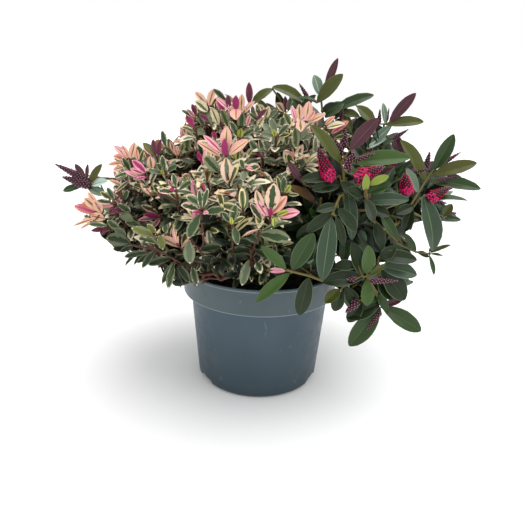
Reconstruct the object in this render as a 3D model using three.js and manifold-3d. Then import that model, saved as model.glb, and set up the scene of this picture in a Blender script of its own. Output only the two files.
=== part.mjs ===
// A potted hebe shrub: a plastic nursery pot of dark compost, and one rooted clump of two foliage forms.
// Small cream-edged leaves fill the left (-X) of the crown, large plain green leaves the right (+X).
// Millimetres, +Z up, the front towards -Y, the origin at the centre of the pot's flat underside.
import * as THREE from 'three';
import { mergeVertices } from 'three/addons/utils/BufferGeometryUtils.js';
import Module from 'manifold-3d';

const wasm = await Module();
wasm.setup();

// ---- Driving dimensions ----
const GAP = 0.3; // clearance between pieces that touch
const MERGE = 1e-4; // vertices closer than this are one

const POT = {
  height: 130,
  rimRadius: 85, // a 17 cm pot
  bandHeight: 30, // the deep stacking band under the rim
  bandFootRadius: 84.1,
  bandStep: 1, // the band's foot slopes out over this height
  bodyTopRadius: 76.2,
  baseRadius: 67.8,
  baseRound: 3,
  wall: 1.8,
  floor: 3,
  sides: 36,
};

const DRAIN = {
  count: 3, // wide arches round the foot of the pot
  firstAzimuth: 94,
  width: 30,
  height: 6,
  slotWidth: 4, // one narrow slot beside each arch
  slotHeight: 3,
  slotStep: -24,
  depth: 12, // how far a cutter reaches across the wall
  proud: 4, // and how far it starts outside it
  sides: 20,
};

const COMPOST = {
  belowRim: 14,
  dome: 3, // its top is this much higher in the middle
  flatRadius: 40,
  facetMargin: 0.4, // its corners stay inside the pot's flat facets
  sides: 24,
};

const LIMB = {
  sides: 7,
  rings: 4,
  bendSteps: 24,
  stemFlare: 1.7, // how much wider a stem is at the compost
  flareHeight: 9,
  entry: 0.9, // a limb is drawn to this share of the way to its mass's centre, then cut at its skin
  stemRise: 0.5, // a stem climbs this share of its height before it leans
  stemLean: 0.35,
  stemCrook: 0.06,
  boughArch: 0.13, // a bough's hump, as a share of its span
  boughTaper: 0.6,
  crumb: 20, // cut-off bits smaller than this many mm3 are not a limb
};

const MASS = {
  bumps: 7,
  bumpHeight: 0.13, // a bump's height and a hollow's depth, as shares of the reach
  hollowDepth: 0.08,
  bumpWidth: 0.55, // radians
  tipWidth: 0.2,
  skin: 0.94, // the smooth ball under the bumps, as a share of the reach
  largeReach: 41, // masses that reach further than this each way get the finer ball
  fineDetail: 3,
  coarseDetail: 2,
  firstSeed: 101,
  seedStep: 17,
  potClearance: 1.2,
  swell: 0.5, // a limb stops this far outside the mass's skin
};

const compostTop = POT.height - COMPOST.belowRim;

// ---- Foliage masses: the centre, the reach along X, Y and Z, and the tips of the longest shoots ----
const VARIEGATED = [
  { name: 'crown_top', centre: [-34, 0, 260], reach: [62, 62, 44], tips: [[-17, 0, 319], [-52, -14, 311]] },
  { name: 'upper_front', centre: [34, -50, 258], reach: [46, 44, 38], tips: [[39, -60, 302]] },
  {
    name: 'left_shoulder',
    centre: [-108, -24, 220],
    reach: [48, 56, 40],
    tips: [[-98, -10, 268], [-150, -30, 240]],
  },
  { name: 'far_left', centre: [-152, -22, 184], reach: [40, 50, 29], tips: [[-196, -15, 168]] },
  { name: 'left_low', centre: [-126, 26, 154], reach: [48, 50, 26], tips: [[-150, 0, 128]] },
  { name: 'front', centre: [-32, -100, 222], reach: [60, 52, 42], tips: [[10, -138, 232]] },
  { name: 'front_left_low', centre: [-80, -86, 168], reach: [42, 42, 28], tips: [[-89, -78, 124]] },
  { name: 'front_low', centre: [-10, -108, 176], reach: [46, 38, 25], tips: [[-16, -122, 148]] },
  { name: 'back_left', centre: [-110, 78, 208], reach: [60, 56, 42], tips: [[-150, 90, 238]] },
  { name: 'back', centre: [-38, 92, 236], reach: [56, 54, 44], tips: [[-50, 104, 286]] },
  { name: 'back_low', centre: [-50, 128, 176], reach: [56, 38, 30], tips: [[-70, 158, 150]] },
];
const GREEN = [
  {
    name: 'crown_top',
    centre: [62, 22, 266],
    reach: [52, 50, 42],
    tips: [[69, 8, 343], [110, 30, 311], [16, 30, 315]],
  },
  {
    name: 'upper_right',
    centre: [132, 2, 248],
    reach: [42, 50, 38],
    tips: [[146, -8, 313], [158, -8, 291], [122, -4, 303]],
  },
  {
    name: 'right',
    centre: [182, -2, 214],
    reach: [32, 44, 32],
    tips: [[226, -10, 221], [193, 0, 274], [219, 0, 243]],
  },
  { name: 'front', centre: [74, -86, 218], reach: [50, 48, 48], tips: [[78, -128, 262]] },
  { name: 'front_right', centre: [126, -62, 190], reach: [44, 44, 40], tips: [[163, -60, 178]] },
  {
    name: 'front_low',
    centre: [46, -108, 166],
    reach: [40, 32, 28],
    tips: [[-2, -124, 136], [35, -124, 122]],
  },
  { name: 'right_low', centre: [108, -76, 134], reach: [46, 38, 34], tips: [[93, -96, 79], [158, -92, 94]] },
  {
    name: 'right_back_low',
    centre: [164, 14, 160],
    reach: [40, 46, 26],
    tips: [[190, -10, 126], [205, -8, 160]],
  },
  { name: 'back_right', centre: [130, 92, 212], reach: [56, 54, 40], tips: [[178, 96, 240]] },
  { name: 'back', centre: [46, 112, 226], reach: [50, 50, 42], tips: [[40, 136, 272]] },
  { name: 'back_low', centre: [84, 134, 166], reach: [58, 38, 30], tips: [[104, 164, 140]] },
  {
    name: 'far_left_sprig', // a long shoot that comes out behind the left of the crown
    centre: [-210, 44, 213],
    reach: [20, 12, 12],
    tips: [[-238, 44, 221], [-226, 44, 198], [-178, 44, 229]],
  },
];

// ---- Stems rise from the compost into one mass each; boughs leave a stem for the masses beside it ----
const STEMS = [
  { form: 'variegated', name: 'main', foot: [-26, 2], mass: 'crown_top', radius: 6, tip: 3.4 },
  { form: 'variegated', name: 'front', foot: [-16, -30], mass: 'front', radius: 5, tip: 3 },
  { form: 'variegated', name: 'back', foot: [-20, 32], mass: 'back', radius: 5, tip: 3 },
  { form: 'green', name: 'main', foot: [26, 4], mass: 'crown_top', radius: 6, tip: 3.6 },
  { form: 'green', name: 'front', foot: [22, -28], mass: 'front', radius: 5, tip: 3.2 },
  { form: 'green', name: 'back', foot: [20, 34], mass: 'back', radius: 5, tip: 3.2 },
];
const BOUGHS = [
  { form: 'variegated', mass: 'upper_front', stem: 'main', leave: 0.56, radius: 3.4 },
  { form: 'variegated', mass: 'left_shoulder', stem: 'main', leave: 0.42, radius: 3.6 },
  { form: 'variegated', mass: 'far_left', stem: 'main', leave: 0.26, radius: 3.4 },
  { form: 'variegated', mass: 'left_low', stem: 'main', leave: 0.12, radius: 3.2 },
  { form: 'variegated', mass: 'front_left_low', stem: 'front', leave: 0.22, radius: 3.2 },
  { form: 'variegated', mass: 'front_low', stem: 'front', leave: 0.42, radius: 2.8 },
  { form: 'variegated', mass: 'back_left', stem: 'back', leave: 0.42, radius: 3.4 },
  { form: 'variegated', mass: 'back_low', stem: 'back', leave: 0.22, radius: 3 },
  { form: 'green', mass: 'upper_right', stem: 'main', leave: 0.5, radius: 3.6 },
  { form: 'green', mass: 'right', stem: 'main', leave: 0.34, radius: 3.4 },
  { form: 'green', mass: 'right_back_low', stem: 'main', leave: 0.14, radius: 3.2 },
  { form: 'green', mass: 'front_right', stem: 'front', leave: 0.44, radius: 3.4 },
  { form: 'green', mass: 'front_low', stem: 'front', leave: 0.3, radius: 3 },
  { form: 'green', mass: 'right_low', stem: 'front', leave: 0.12, radius: 3.2 },
  { form: 'green', mass: 'back_right', stem: 'back', leave: 0.4, radius: 3.4 },
  { form: 'green', mass: 'back_low', stem: 'back', leave: 0.2, radius: 3 },
];
const SPRIG = { from: 'back_left', sag: 8, bend: 0.6, radius: 2, tip: 1.4 };

// ---- Materials ----
const plastic = new THREE.MeshStandardMaterial({ color: 0x5b6e74, roughness: 0.55, metalness: 0 });
const compost = new THREE.MeshStandardMaterial({ color: 0x1d1916, roughness: 1, metalness: 0 });
const bark = {
  variegated: new THREE.MeshStandardMaterial({ color: 0x5c3430, roughness: 0.8, metalness: 0 }),
  green: new THREE.MeshStandardMaterial({ color: 0x6f6a3c, roughness: 0.75, metalness: 0 }),
};
const leafage = {
  variegated: new THREE.MeshStandardMaterial({ color: 0x9a9a72, roughness: 0.6, metalness: 0 }),
  green: new THREE.MeshStandardMaterial({ color: 0x44583c, roughness: 0.5, metalness: 0 }),
};

// ---- Solids ----
function mergedPositions(geometry) {
  geometry.deleteAttribute('normal');
  geometry.deleteAttribute('uv');
  return mergeVertices(geometry, MERGE);
}

function solidOf(geometry) {
  const merged = mergedPositions(geometry);
  const mesh = new wasm.Mesh({
    numProp: 3,
    vertProperties: new Float32Array(merged.attributes.position.array),
    triVerts: new Uint32Array(merged.index.array),
  });
  return new wasm.Manifold(mesh);
}

function geometryOf(solid) {
  const { vertProperties, triVerts } = solid.getMesh();
  const geometry = new THREE.BufferGeometry();
  geometry.setAttribute('position', new THREE.BufferAttribute(new Float32Array(vertProperties), 3));
  geometry.setIndex(new THREE.BufferAttribute(new Uint32Array(triVerts), 1));
  geometry.computeVertexNormals();
  return geometry;
}

const root = new THREE.Group();

function addNode(name, solid, material) {
  const mesh = new THREE.Mesh(geometryOf(solid), material);
  mesh.name = name;
  root.add(mesh);
}

// A small seeded generator of numbers from 0 to 1.
function seeded(seed) {
  let state = seed >>> 0;
  return () => {
    state = (Math.imul(state, 1664525) + 1013904223) >>> 0;
    return state / 2 ** 32;
  };
}

// A turned solid: [radius, height] pairs from the axis and back to it, listed upwards round the outside.
function turned(profile, sides) {
  const points = profile.map(([radius, height]) => new THREE.Vector2(radius, height));
  return solidOf(new THREE.LatheGeometry(points, sides).rotateX(Math.PI / 2));
}

// ---- Pot ----
const bandFoot = POT.height - POT.bandHeight;

function wallRadius(height) {
  return POT.baseRadius + ((POT.bodyTopRadius - POT.baseRadius) * height) / bandFoot;
}

function makePot() {
  const pot = turned(
    [
      [0, 0],
      [POT.baseRadius - POT.baseRound, 0],
      [wallRadius(POT.baseRound), POT.baseRound],
      [POT.bodyTopRadius, bandFoot],
      [POT.bandFootRadius, bandFoot + POT.bandStep],
      [POT.rimRadius, POT.height],
      [POT.rimRadius - POT.wall, POT.height],
      [POT.bandFootRadius - POT.wall, bandFoot + POT.bandStep + POT.wall],
      [POT.bodyTopRadius - POT.wall, bandFoot + POT.wall],
      [wallRadius(POT.floor) - POT.wall, POT.floor],
      [0, POT.floor],
    ],
    POT.sides,
  );
  return drainCutters().reduce((body, cutter) => body.subtract(cutter), pot);
}

// An arch is a level cylinder across the foot of the wall, so that only its crown rises above the base.
function archCutter(width, height, azimuth) {
  const radius = (width * width) / (8 * height) + height / 2;
  const arch = new THREE.CylinderGeometry(radius, radius, DRAIN.depth, DRAIN.sides);
  arch.rotateZ(Math.PI / 2);
  arch.translate(POT.baseRadius + DRAIN.proud - DRAIN.depth / 2, 0, height - radius);
  arch.rotateZ(THREE.MathUtils.degToRad(azimuth));
  return solidOf(arch);
}

function drainCutters() {
  const cutters = [];
  for (let i = 0; i < DRAIN.count; i += 1) {
    const azimuth = DRAIN.firstAzimuth + (i * 360) / DRAIN.count;
    cutters.push(archCutter(DRAIN.width, DRAIN.height, azimuth));
    cutters.push(archCutter(DRAIN.slotWidth, DRAIN.slotHeight, azimuth + DRAIN.slotStep));
  }
  return cutters;
}

// ---- Compost: fills the pot to below the rim, with a slightly domed top ----
function makeCompost() {
  const inset = POT.wall + GAP + COMPOST.facetMargin;
  const ledge = bandFoot + POT.bandStep + POT.wall + GAP;
  return turned(
    [
      [0, POT.floor + GAP],
      [wallRadius(POT.floor) - inset, POT.floor + GAP],
      [POT.bodyTopRadius - inset, ledge],
      [POT.bandFootRadius - inset, ledge + GAP],
      [POT.bandFootRadius - inset, compostTop - COMPOST.dome],
      [COMPOST.flatRadius, compostTop],
      [0, compostTop],
    ],
    COMPOST.sides,
  );
}

// ---- Foliage: a ball stretched to its reach, with seeded bumps and hollows, drawn out to its tips ----
function makeMass({ centre, reach, tips }, seed, detail) {
  const middle = new THREE.Vector3(...centre);
  const stretch = new THREE.Vector3(...reach);
  const ball = mergedPositions(new THREE.IcosahedronGeometry(1, detail));
  const position = ball.attributes.position;
  const bumps = makeBumps(seeded(seed));
  const spurs = tips.map((tip) => makeSpur(new THREE.Vector3(...tip).sub(middle).divide(stretch), position));
  const point = new THREE.Vector3();
  for (let i = 0; i < position.count; i += 1) {
    point.fromBufferAttribute(position, i).normalize();
    const spur = spurs.find((candidate) => candidate.vertex === i);
    if (spur) point.copy(spur.towards).multiplyScalar(spur.length);
    else point.multiplyScalar(skinRadius(point, bumps, spurs));
    point.multiply(stretch).add(middle);
    position.setXYZ(i, point.x, point.y, point.z);
  }
  return solidOf(ball);
}

function makeBumps(random) {
  const side = () => random() - 0.5;
  return Array.from({ length: MASS.bumps }, () => ({
    towards: new THREE.Vector3(side(), side(), side()).normalize(),
    height: THREE.MathUtils.lerp(-MASS.hollowDepth, MASS.bumpHeight, random()),
  }));
}

// A spur draws the ball out to a shoot tip: the nearest vertex goes there, its neighbours part of the way.
function makeSpur(target, position) {
  const length = target.length();
  const towards = target.clone().normalize();
  return { length, towards, vertex: nearestVertex(position, towards) };
}

function skinRadius(direction, bumps, spurs) {
  let radius = MASS.skin;
  for (const bump of bumps) radius += bump.height * fallOff(direction, bump.towards, MASS.bumpWidth);
  for (const spur of spurs) {
    radius += Math.max(0, spur.length - radius) * fallOff(direction, spur.towards, MASS.tipWidth);
  }
  return radius;
}

function fallOff(direction, towards, width) {
  const angle = direction.angleTo(towards) / width;
  return Math.exp(-angle * angle);
}

function nearestVertex(position, towards) {
  const vertex = new THREE.Vector3();
  let best = 0;
  let bestDot = -Infinity;
  for (let i = 0; i < position.count; i += 1) {
    const dot = vertex.fromBufferAttribute(position, i).normalize().dot(towards);
    if (dot > bestDot) {
      bestDot = dot;
      best = i;
    }
  }
  return best;
}

// Two masses that meet are trimmed by one flat plane between their centres, half a gap each side of it.
function trimApart(a, b) {
  if (a.solid.intersect(b.solid).volume() < MERGE) return;
  const from = new THREE.Vector3(...a.centre);
  const line = new THREE.Vector3(...b.centre).sub(from);
  const apart = line.length();
  line.normalize();
  const reachA = reachAlong(a.reach, line);
  const reachB = reachAlong(b.reach, line);
  const offset = from.dot(line) + (apart * reachA) / (reachA + reachB);
  a.solid = largestPiece(a.solid.trimByPlane([-line.x, -line.y, -line.z], GAP / 2 - offset));
  b.solid = largestPiece(b.solid.trimByPlane([line.x, line.y, line.z], GAP / 2 + offset));
}

function reachAlong([x, y, z], direction) {
  return Math.hypot(x * direction.x, y * direction.y, z * direction.z);
}

function largestPiece(solid) {
  return solid.decompose().sort((a, b) => b.volume() - a.volume())[0];
}

// The mass a little larger, so that a limb cut by it ends just short of its skin.
function swollenMass(mass) {
  const growth = 1 + MASS.swell / Math.min(...mass.reach);
  const [x, y, z] = mass.centre;
  return mass.solid.translate([-x, -y, -z]).scale(growth).translate([x, y, z]);
}

// ---- Limbs: a turned taper, flared at the foot of a stem, bent along its curve ----
function makeLimb(curve, { radius, tip, flare = 1, swell = 0 }) {
  const length = curve.getLength();
  const foot = flare > 1 ? LIMB.flareHeight : 0;
  const profile = [new THREE.Vector2(0, 0)];
  if (foot > 0) profile.push(new THREE.Vector2(radius * flare + swell, 0));
  for (let i = 0; i <= LIMB.rings; i += 1) {
    const height = THREE.MathUtils.lerp(foot, length, i / LIMB.rings);
    const thickness = THREE.MathUtils.lerp(radius, tip, height / length) + swell;
    profile.push(new THREE.Vector2(thickness, height));
  }
  profile.push(new THREE.Vector2(0, length));
  const limb = new THREE.LatheGeometry(profile, LIMB.sides).rotateX(Math.PI / 2);
  return solidOf(bendAlong(limb, curve, length));
}

function bendAlong(geometry, curve, length) {
  const frames = curve.computeFrenetFrames(LIMB.bendSteps, false);
  const position = geometry.attributes.position;
  for (let i = 0; i < position.count; i += 1) {
    const along = THREE.MathUtils.clamp(position.getZ(i) / length, 0, 1);
    const step = Math.round(along * LIMB.bendSteps);
    const point = curve.getPointAt(along);
    point.addScaledVector(frames.normals[step], position.getX(i));
    point.addScaledVector(frames.binormals[step], position.getY(i));
    position.setXYZ(i, point.x, point.y, point.z);
  }
  return geometry;
}

const footPoint = ([x, y]) => new THREE.Vector3(x, y, compostTop + GAP);
const centreOf = (mass) => new THREE.Vector3(...mass.centre);

// A stem leaves the compost upright and leans out to the point where it enters its mass.
function stemCurve({ foot }, mass) {
  const start = footPoint(foot);
  const end = start.clone().lerp(centreOf(mass), LIMB.entry);
  const height = end.z - start.z;
  return new THREE.CubicBezierCurve3(
    start,
    start.clone().setZ(start.z + height * LIMB.stemRise),
    end.clone().lerp(start, LIMB.stemLean).add(new THREE.Vector3(0, 0, height * LIMB.stemCrook)),
    end,
  );
}

// A bough leaves its stem outwards and arches over towards its mass.
function boughCurve(start, mass) {
  const end = start.clone().lerp(centreOf(mass), LIMB.entry);
  const hump = new THREE.Vector3(0, 0, start.distanceTo(end) * LIMB.boughArch);
  return new THREE.CubicBezierCurve3(
    start,
    start.clone().lerp(end, 1 / 3).add(hump),
    start.clone().lerp(end, 2 / 3).add(hump),
    end,
  );
}

function sprigCurve(from, to) {
  const start = centreOf(from);
  const end = centreOf(to);
  const bend = start.clone().lerp(end, SPRIG.bend).sub(new THREE.Vector3(0, 0, SPRIG.sag));
  return new THREE.QuadraticBezierCurve3(start, bend, end);
}

// What is left of a limb once the other solids are cut out of it: the piece that lies nearest to a point.
function pieceNear(solid, point) {
  const distance = (piece) => {
    const { min, max } = piece.boundingBox();
    return new THREE.Box3(new THREE.Vector3(...min), new THREE.Vector3(...max)).distanceToPoint(point);
  };
  const pieces = solid.decompose().filter((piece) => piece.volume() > LIMB.crumb);
  return pieces.sort((a, b) => distance(a) - distance(b))[0];
}

// ---- Assembly ----
addNode('pot', makePot(), plastic);
addNode('compost', makeCompost(), compost);

const masses = [
  ...VARIEGATED.map((mass) => ({ ...mass, form: 'variegated' })),
  ...GREEN.map((mass) => ({ ...mass, form: 'green' })),
];
masses.forEach((mass, index) => {
  const detail = Math.min(...mass.reach) > MASS.largeReach ? MASS.fineDetail : MASS.coarseDetail;
  mass.solid = makeMass(mass, MASS.firstSeed + MASS.seedStep * index, detail);
});
masses.forEach((mass, index) => masses.slice(index + 1).forEach((other) => trimApart(mass, other)));

const keepOutRadius = POT.rimRadius + MASS.potClearance;
const keepOutTop = POT.height + MASS.potClearance;
const keepOutProfile = [[0, 0], [keepOutRadius, 0], [keepOutRadius, keepOutTop], [0, keepOutTop]];
const potKeepOut = turned(keepOutProfile, POT.sides);
for (const mass of masses) mass.solid = largestPiece(mass.solid.subtract(potKeepOut));

const findMass = (form, name) => masses.find((mass) => mass.form === form && mass.name === name);
const skins = masses.map((mass) => swollenMass(mass));
const drawnLimbs = [];

// Each new limb is cut by the limbs drawn before it and by every mass, and keeps the piece at its own foot.
function addLimb(name, form, curve, shape, foot) {
  let solid = makeLimb(curve, shape);
  for (const cutter of [...drawnLimbs, ...skins]) solid = solid.subtract(cutter);
  drawnLimbs.push(makeLimb(curve, { ...shape, swell: GAP }));
  addNode(name, pieceNear(solid, foot), bark[form]);
}

const stemCurves = {};
for (const stem of STEMS) {
  const curve = stemCurve(stem, findMass(stem.form, stem.mass));
  const shape = { radius: stem.radius, tip: stem.tip, flare: LIMB.stemFlare };
  stemCurves[`${stem.form}_${stem.name}`] = curve;
  addLimb(`stem_${stem.form}_${stem.name}`, stem.form, curve, shape, footPoint(stem.foot));
}
for (const bough of BOUGHS) {
  const start = stemCurves[`${bough.form}_${bough.stem}`].getPointAt(bough.leave);
  const curve = boughCurve(start, findMass(bough.form, bough.mass));
  const shape = { radius: bough.radius, tip: bough.radius * LIMB.boughTaper };
  addLimb(`bough_${bough.form}_${bough.mass}`, bough.form, curve, shape, start);
}
const sprig = findMass('green', 'far_left_sprig');
const sprigShoot = sprigCurve(findMass('variegated', SPRIG.from), sprig);
addLimb('bough_green_far_left_sprig', 'green', sprigShoot, SPRIG, centreOf(sprig));

for (const mass of masses) addNode(`foliage_${mass.form}_${mass.name}`, mass.solid, leafage[mass.form]);

export default root;
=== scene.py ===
"""A hebe shrub in its nursery pot: limbs, twigs, leaves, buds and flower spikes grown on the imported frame.

Small cream-edged leaves fill the left (-X) of the crown, large plain green leaves the right (+X).
Lengths in this script are millimetres until a mesh is made. Points named by picture place are pixels of the
524 x 524 frame, and `depth` is their place along Y, with the viewer at -Y.
"""
import math
from collections import namedtuple

import bmesh
import bpy
import numpy as np
from mathutils import Matrix, Vector, noise
from mathutils.bvhtree import BVHTree


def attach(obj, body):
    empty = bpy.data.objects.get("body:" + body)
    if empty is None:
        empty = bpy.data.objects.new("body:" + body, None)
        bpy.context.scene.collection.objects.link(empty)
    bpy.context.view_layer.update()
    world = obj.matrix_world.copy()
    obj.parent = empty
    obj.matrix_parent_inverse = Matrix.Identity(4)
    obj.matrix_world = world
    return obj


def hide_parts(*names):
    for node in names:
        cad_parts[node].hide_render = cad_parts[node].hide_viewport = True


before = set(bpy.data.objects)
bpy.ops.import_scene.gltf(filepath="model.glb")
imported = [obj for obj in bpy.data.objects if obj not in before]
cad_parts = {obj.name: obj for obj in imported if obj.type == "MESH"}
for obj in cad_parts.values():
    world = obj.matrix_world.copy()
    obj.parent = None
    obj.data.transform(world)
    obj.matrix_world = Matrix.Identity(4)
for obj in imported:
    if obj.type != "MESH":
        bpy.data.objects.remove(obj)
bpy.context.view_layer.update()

MM = 0.001
SEED = 20261
UP = np.array([0.0, 0.0, 1.0])
PIECE_TRIANGLES = 190_000  # the most that one joined piece may hold
LEAF_CREASE = math.radians(70)  # edges sharper than this aren't shaded smooth
POT_CREASE = math.radians(38)

# ---- Camera ----
FRAME_SIDE = 524
FOCAL_PX = 500
SENSOR_WIDTH = 36  # mm
CAMERA_AT = np.array([1.8, -527.0, 306.0])
PITCH = math.radians(18.45)
ROLL = math.radians(1.92)

# ---- Light ----
FLOOR_COLOUR = (247, 247, 247)
KEY_FROM = (0.3, 0.05, 1.0)
KEY_SPREAD = 70  # degrees
KEY_STRENGTH = 2.1

# ---- Pot and compost, as the frame has them ----
POT_HEIGHT = 130
RIM_RADIUS = 85
BAND_FOOT = 100  # the height at which the band steps out of the body
BAND_STEP = 1
BAND_FOOT_RADIUS = 84.1
BODY_TOP_RADIUS = 76.2
BASE_RADIUS = 67.8
WALL = 1.8
POT_FLOOR = 3
BEAD_HEIGHT = 3.2  # of the fine bead round the rim
DRAIN_COUNT = 3
FIRST_DRAIN = 94  # degrees round from +X
SLOT_STEP = -24  # degrees from an arch to its slot
ARCH = (32, 8.5)  # width and height of a wide drain opening
SLOT = (4, 3)  # of a narrow one
DRAIN_DEPTH = 12
CUTTER_PROUD = 4  # how far a cutter stands out of the wall
COMPOST_TOP = 116
COMPOST_RADIUS = 81.9
CRUMBS = 520

# ---- Growth ----
THICKEST_TWIG = 3.2
LOWEST_LEAF = 62  # scattered leaves hang no lower than this

# ---- Colours, sRGB 0-255 ----
PLANT_COLOURS = {
    # cream-edged form
    # painted shade: the darkest heart, for leaves low down and inside the crown
    "heart_deep": (20, 30, 18),
    "heart_dark": (34, 48, 28),
    "heart_green": (58, 77, 46),
    "heart_grey": (94, 106, 84),
    # painted light: a paler copy of the grey-green heart, for the sunlit top
    "heart_pale": (122, 134, 102),
    "heart_olive": (112, 110, 62),
    "moss": (108, 114, 52),
    "heart_salmon": (190, 118, 98),
    "heart_rose": (150, 96, 96),
    # painted shade: the darkest edge
    "edge_deep": (72, 72, 50),
    # partly painted shade: a dimmed cream edge, for older leaves low down and inside
    "edge_dull": (144, 136, 102),
    "edge_cream": (224, 212, 182),
    "edge_butter": (226, 210, 158),
    "edge_blush": (224, 190, 166),
    "shell": (230, 188, 176),
    "apricot": (230, 187, 147),
    "peach": (228, 170, 162),
    "pink": (222, 152, 168),
    "rose": (188, 80, 118),
    "magenta": (150, 44, 96),
    "dusk": (128, 72, 86),
    "plum": (96, 40, 62),
    "lime": (176, 184, 84),
    "back_pale": (122, 128, 98),
    "back_dull": (82, 90, 64),
    # plain green form
    # painted shade: the darkest green, for leaves inside the crown
    "green_deep": (14, 21, 11),
    "green_dark": (32, 44, 22),
    "green": (46, 66, 33),
    "green_fresh": (60, 84, 38),
    # painted sheen: green with a glossy leaf's bluish sheen painted in
    "green_blue": (54, 70, 53),
    "green_olive": (76, 80, 33),
    "green_lime": (124, 140, 58),
    "green_rib": (90, 110, 74),
    "green_vein": (64, 84, 46),
    "green_back": (106, 126, 106),
    "green_dull": (42, 50, 34),
    # painted highlight: the whitish sheen of a glossy leaf
    "green_mint": (184, 206, 192),
    "bronze": (86, 62, 42),
    "maroon": (74, 42, 50),
    "maroon_rib": (108, 68, 78),
    "maroon_back": (104, 62, 76),
    # buds and flowers
    "bud_dark": (44, 15, 25),
    "bud_dot": (166, 108, 130),
    "bud_bright": (190, 20, 80),
    "petal": (176, 12, 74),
    "petal_bright": (208, 36, 104),
    # young stems
    "stem_maroon": (88, 56, 46),
    "stem_olive": (102, 92, 50),
}
PLAIN_COLOURS = {"soil": (26, 22, 19), "crumb": (38, 31, 26), "perlite": (196, 192, 182)}
# How rough and how glossy (specular level) a plant colour is, by the first part of its name.
SURFACES = {"green": (0.34, 0.28), "bronze": (0.36, 0.3), "maroon": (0.36, 0.3), "stem": (0.55, 0.28)}
SOFT_SURFACE = (0.42, 0.28)


# ======== Vectors ========
def unit(vector):
    return vector / max(np.linalg.norm(vector), 1e-9)


def square_to(vector, axis):
    """The part of vector that is square to a unit axis, at length 1."""
    rest = vector - axis * vector.dot(axis)
    if np.linalg.norm(rest) < 1e-3:
        rest = np.cross(axis, [0.31, 0.87, 0.39])
    return unit(rest)


def aside_of(axis):
    """A direction square to a unit axis, the same one each time."""
    return square_to(UP + 0.01, axis)


def turned(vector, axis, angle):
    """vector turned about a unit axis."""
    return (
        vector * math.cos(angle)
        + np.cross(axis, vector) * math.sin(angle)
        + axis * axis.dot(vector) * (1 - math.cos(angle))
    )


# ======== Sight lines ========
LOOK = np.array([0, math.cos(PITCH), -math.sin(PITCH)])
LEVEL_UP = np.array([0, math.sin(PITCH), math.cos(PITCH)])
RIGHT = math.cos(ROLL) * np.array([1.0, 0, 0]) + math.sin(ROLL) * LEVEL_UP
PICTURE_UP = -math.sin(ROLL) * np.array([1.0, 0, 0]) + math.cos(ROLL) * LEVEL_UP
MIDDLE = FRAME_SIDE / 2


def at_pixel(u, v, depth):
    """The point that the picture shows at (u, v), at y = depth."""
    ray = LOOK + RIGHT * (u - MIDDLE) / FOCAL_PX + PICTURE_UP * (MIDDLE - v) / FOCAL_PX
    return CAMERA_AT + ray * (depth - CAMERA_AT[1]) / ray[1]


def pixel_of(points):
    """Where the picture shows the points, as an array of (u, v)."""
    away = np.asarray(points, float) - CAMERA_AT
    far = away @ LOOK
    u = MIDDLE + FOCAL_PX * (away @ RIGHT) / far
    v = MIDDLE - FOCAL_PX * (away @ PICTURE_UP) / far
    return np.stack([u, v], -1)


# ======== Materials ========
GAMMA = 2.2  # close to that of sRGB


def linear(rgb):
    """sRGB 0-255 as the linear colour that a shader takes."""
    return tuple((c / 255) ** GAMMA for c in rgb)


def darker(rgb, share):
    return tuple(int(c * share) for c in rgb)


def principled(name, rgb, roughness):
    material = bpy.data.materials.new(name)
    material.use_nodes = True
    shader = material.node_tree.nodes["Principled BSDF"]
    shader.inputs["Base Color"].default_value = (*linear(rgb), 1)
    shader.inputs["Roughness"].default_value = roughness
    return material, shader


class Pattern:
    """Helps to build a procedural material: noise at a scale per metre, mixes and bump."""

    def __init__(self, name, rgb, roughness):
        self.material, self.shader = principled(name, rgb, roughness)
        self.nodes = self.material.node_tree.nodes
        self.links = self.material.node_tree.links
        self.place = self.nodes.new("ShaderNodeTexCoord").outputs["Object"]

    def noise(self, scale, detail=4, stretch=(1, 1, 1)):
        mapping = self.nodes.new("ShaderNodeMapping")
        mapping.inputs["Scale"].default_value = stretch
        texture = self.nodes.new("ShaderNodeTexNoise")
        texture.inputs["Scale"].default_value = scale
        texture.inputs["Detail"].default_value = detail
        self.links.new(self.place, mapping.inputs["Vector"])
        self.links.new(mapping.outputs["Vector"], texture.inputs["Vector"])
        return texture.outputs["Fac"]

    def height(self, low, high):
        """0 at the low height and 1 at the high one, in metres."""
        split = self.nodes.new("ShaderNodeSeparateXYZ")
        self.links.new(self.place, split.inputs["Vector"])
        return self.spread(split.outputs["Z"], low, high, 0, 1)

    def line(self, height, half_width):
        """1 along a level line, fading to 0 at half_width above and below it, in metres."""
        rise = self.height(height - half_width, height)
        fall = self.height(height + half_width, height)
        both = self.nodes.new("ShaderNodeMath")
        both.operation = "MULTIPLY"
        self.links.new(rise, both.inputs[0])
        self.links.new(fall, both.inputs[1])
        return both.outputs["Value"]

    def spread(self, value, low, high, to_low, to_high):
        node = self.nodes.new("ShaderNodeMapRange")
        ends = (low, high, to_low, to_high)
        for key, number in zip(("From Min", "From Max", "To Min", "To Max"), ends):
            node.inputs[key].default_value = number
        self.links.new(value, node.inputs["Value"])
        return node.outputs["Result"]

    def mix(self, share, first, second):
        """Each of first and second is an sRGB colour or another node's output."""
        node = self.nodes.new("ShaderNodeMix")
        node.data_type = "RGBA"
        self.links.new(share, node.inputs["Factor"])
        for key, colour in (("A", first), ("B", second)):
            socket = next(s for s in node.inputs if s.name == key and s.type == "RGBA")
            if isinstance(colour, tuple):
                socket.default_value = (*linear(colour), 1)
            else:
                self.links.new(colour, socket)
        return next(s for s in node.outputs if s.type == "RGBA")

    def colour(self, output):
        self.links.new(output, self.shader.inputs["Base Color"])

    def roughness(self, output):
        self.links.new(output, self.shader.inputs["Roughness"])

    def bump(self, output, strength, distance):
        node = self.nodes.new("ShaderNodeBump")
        node.inputs["Strength"].default_value = strength
        node.inputs["Distance"].default_value = distance
        self.links.new(output, node.inputs["Height"])
        self.links.new(node.outputs["Normal"], self.shader.inputs["Normal"])


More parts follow.
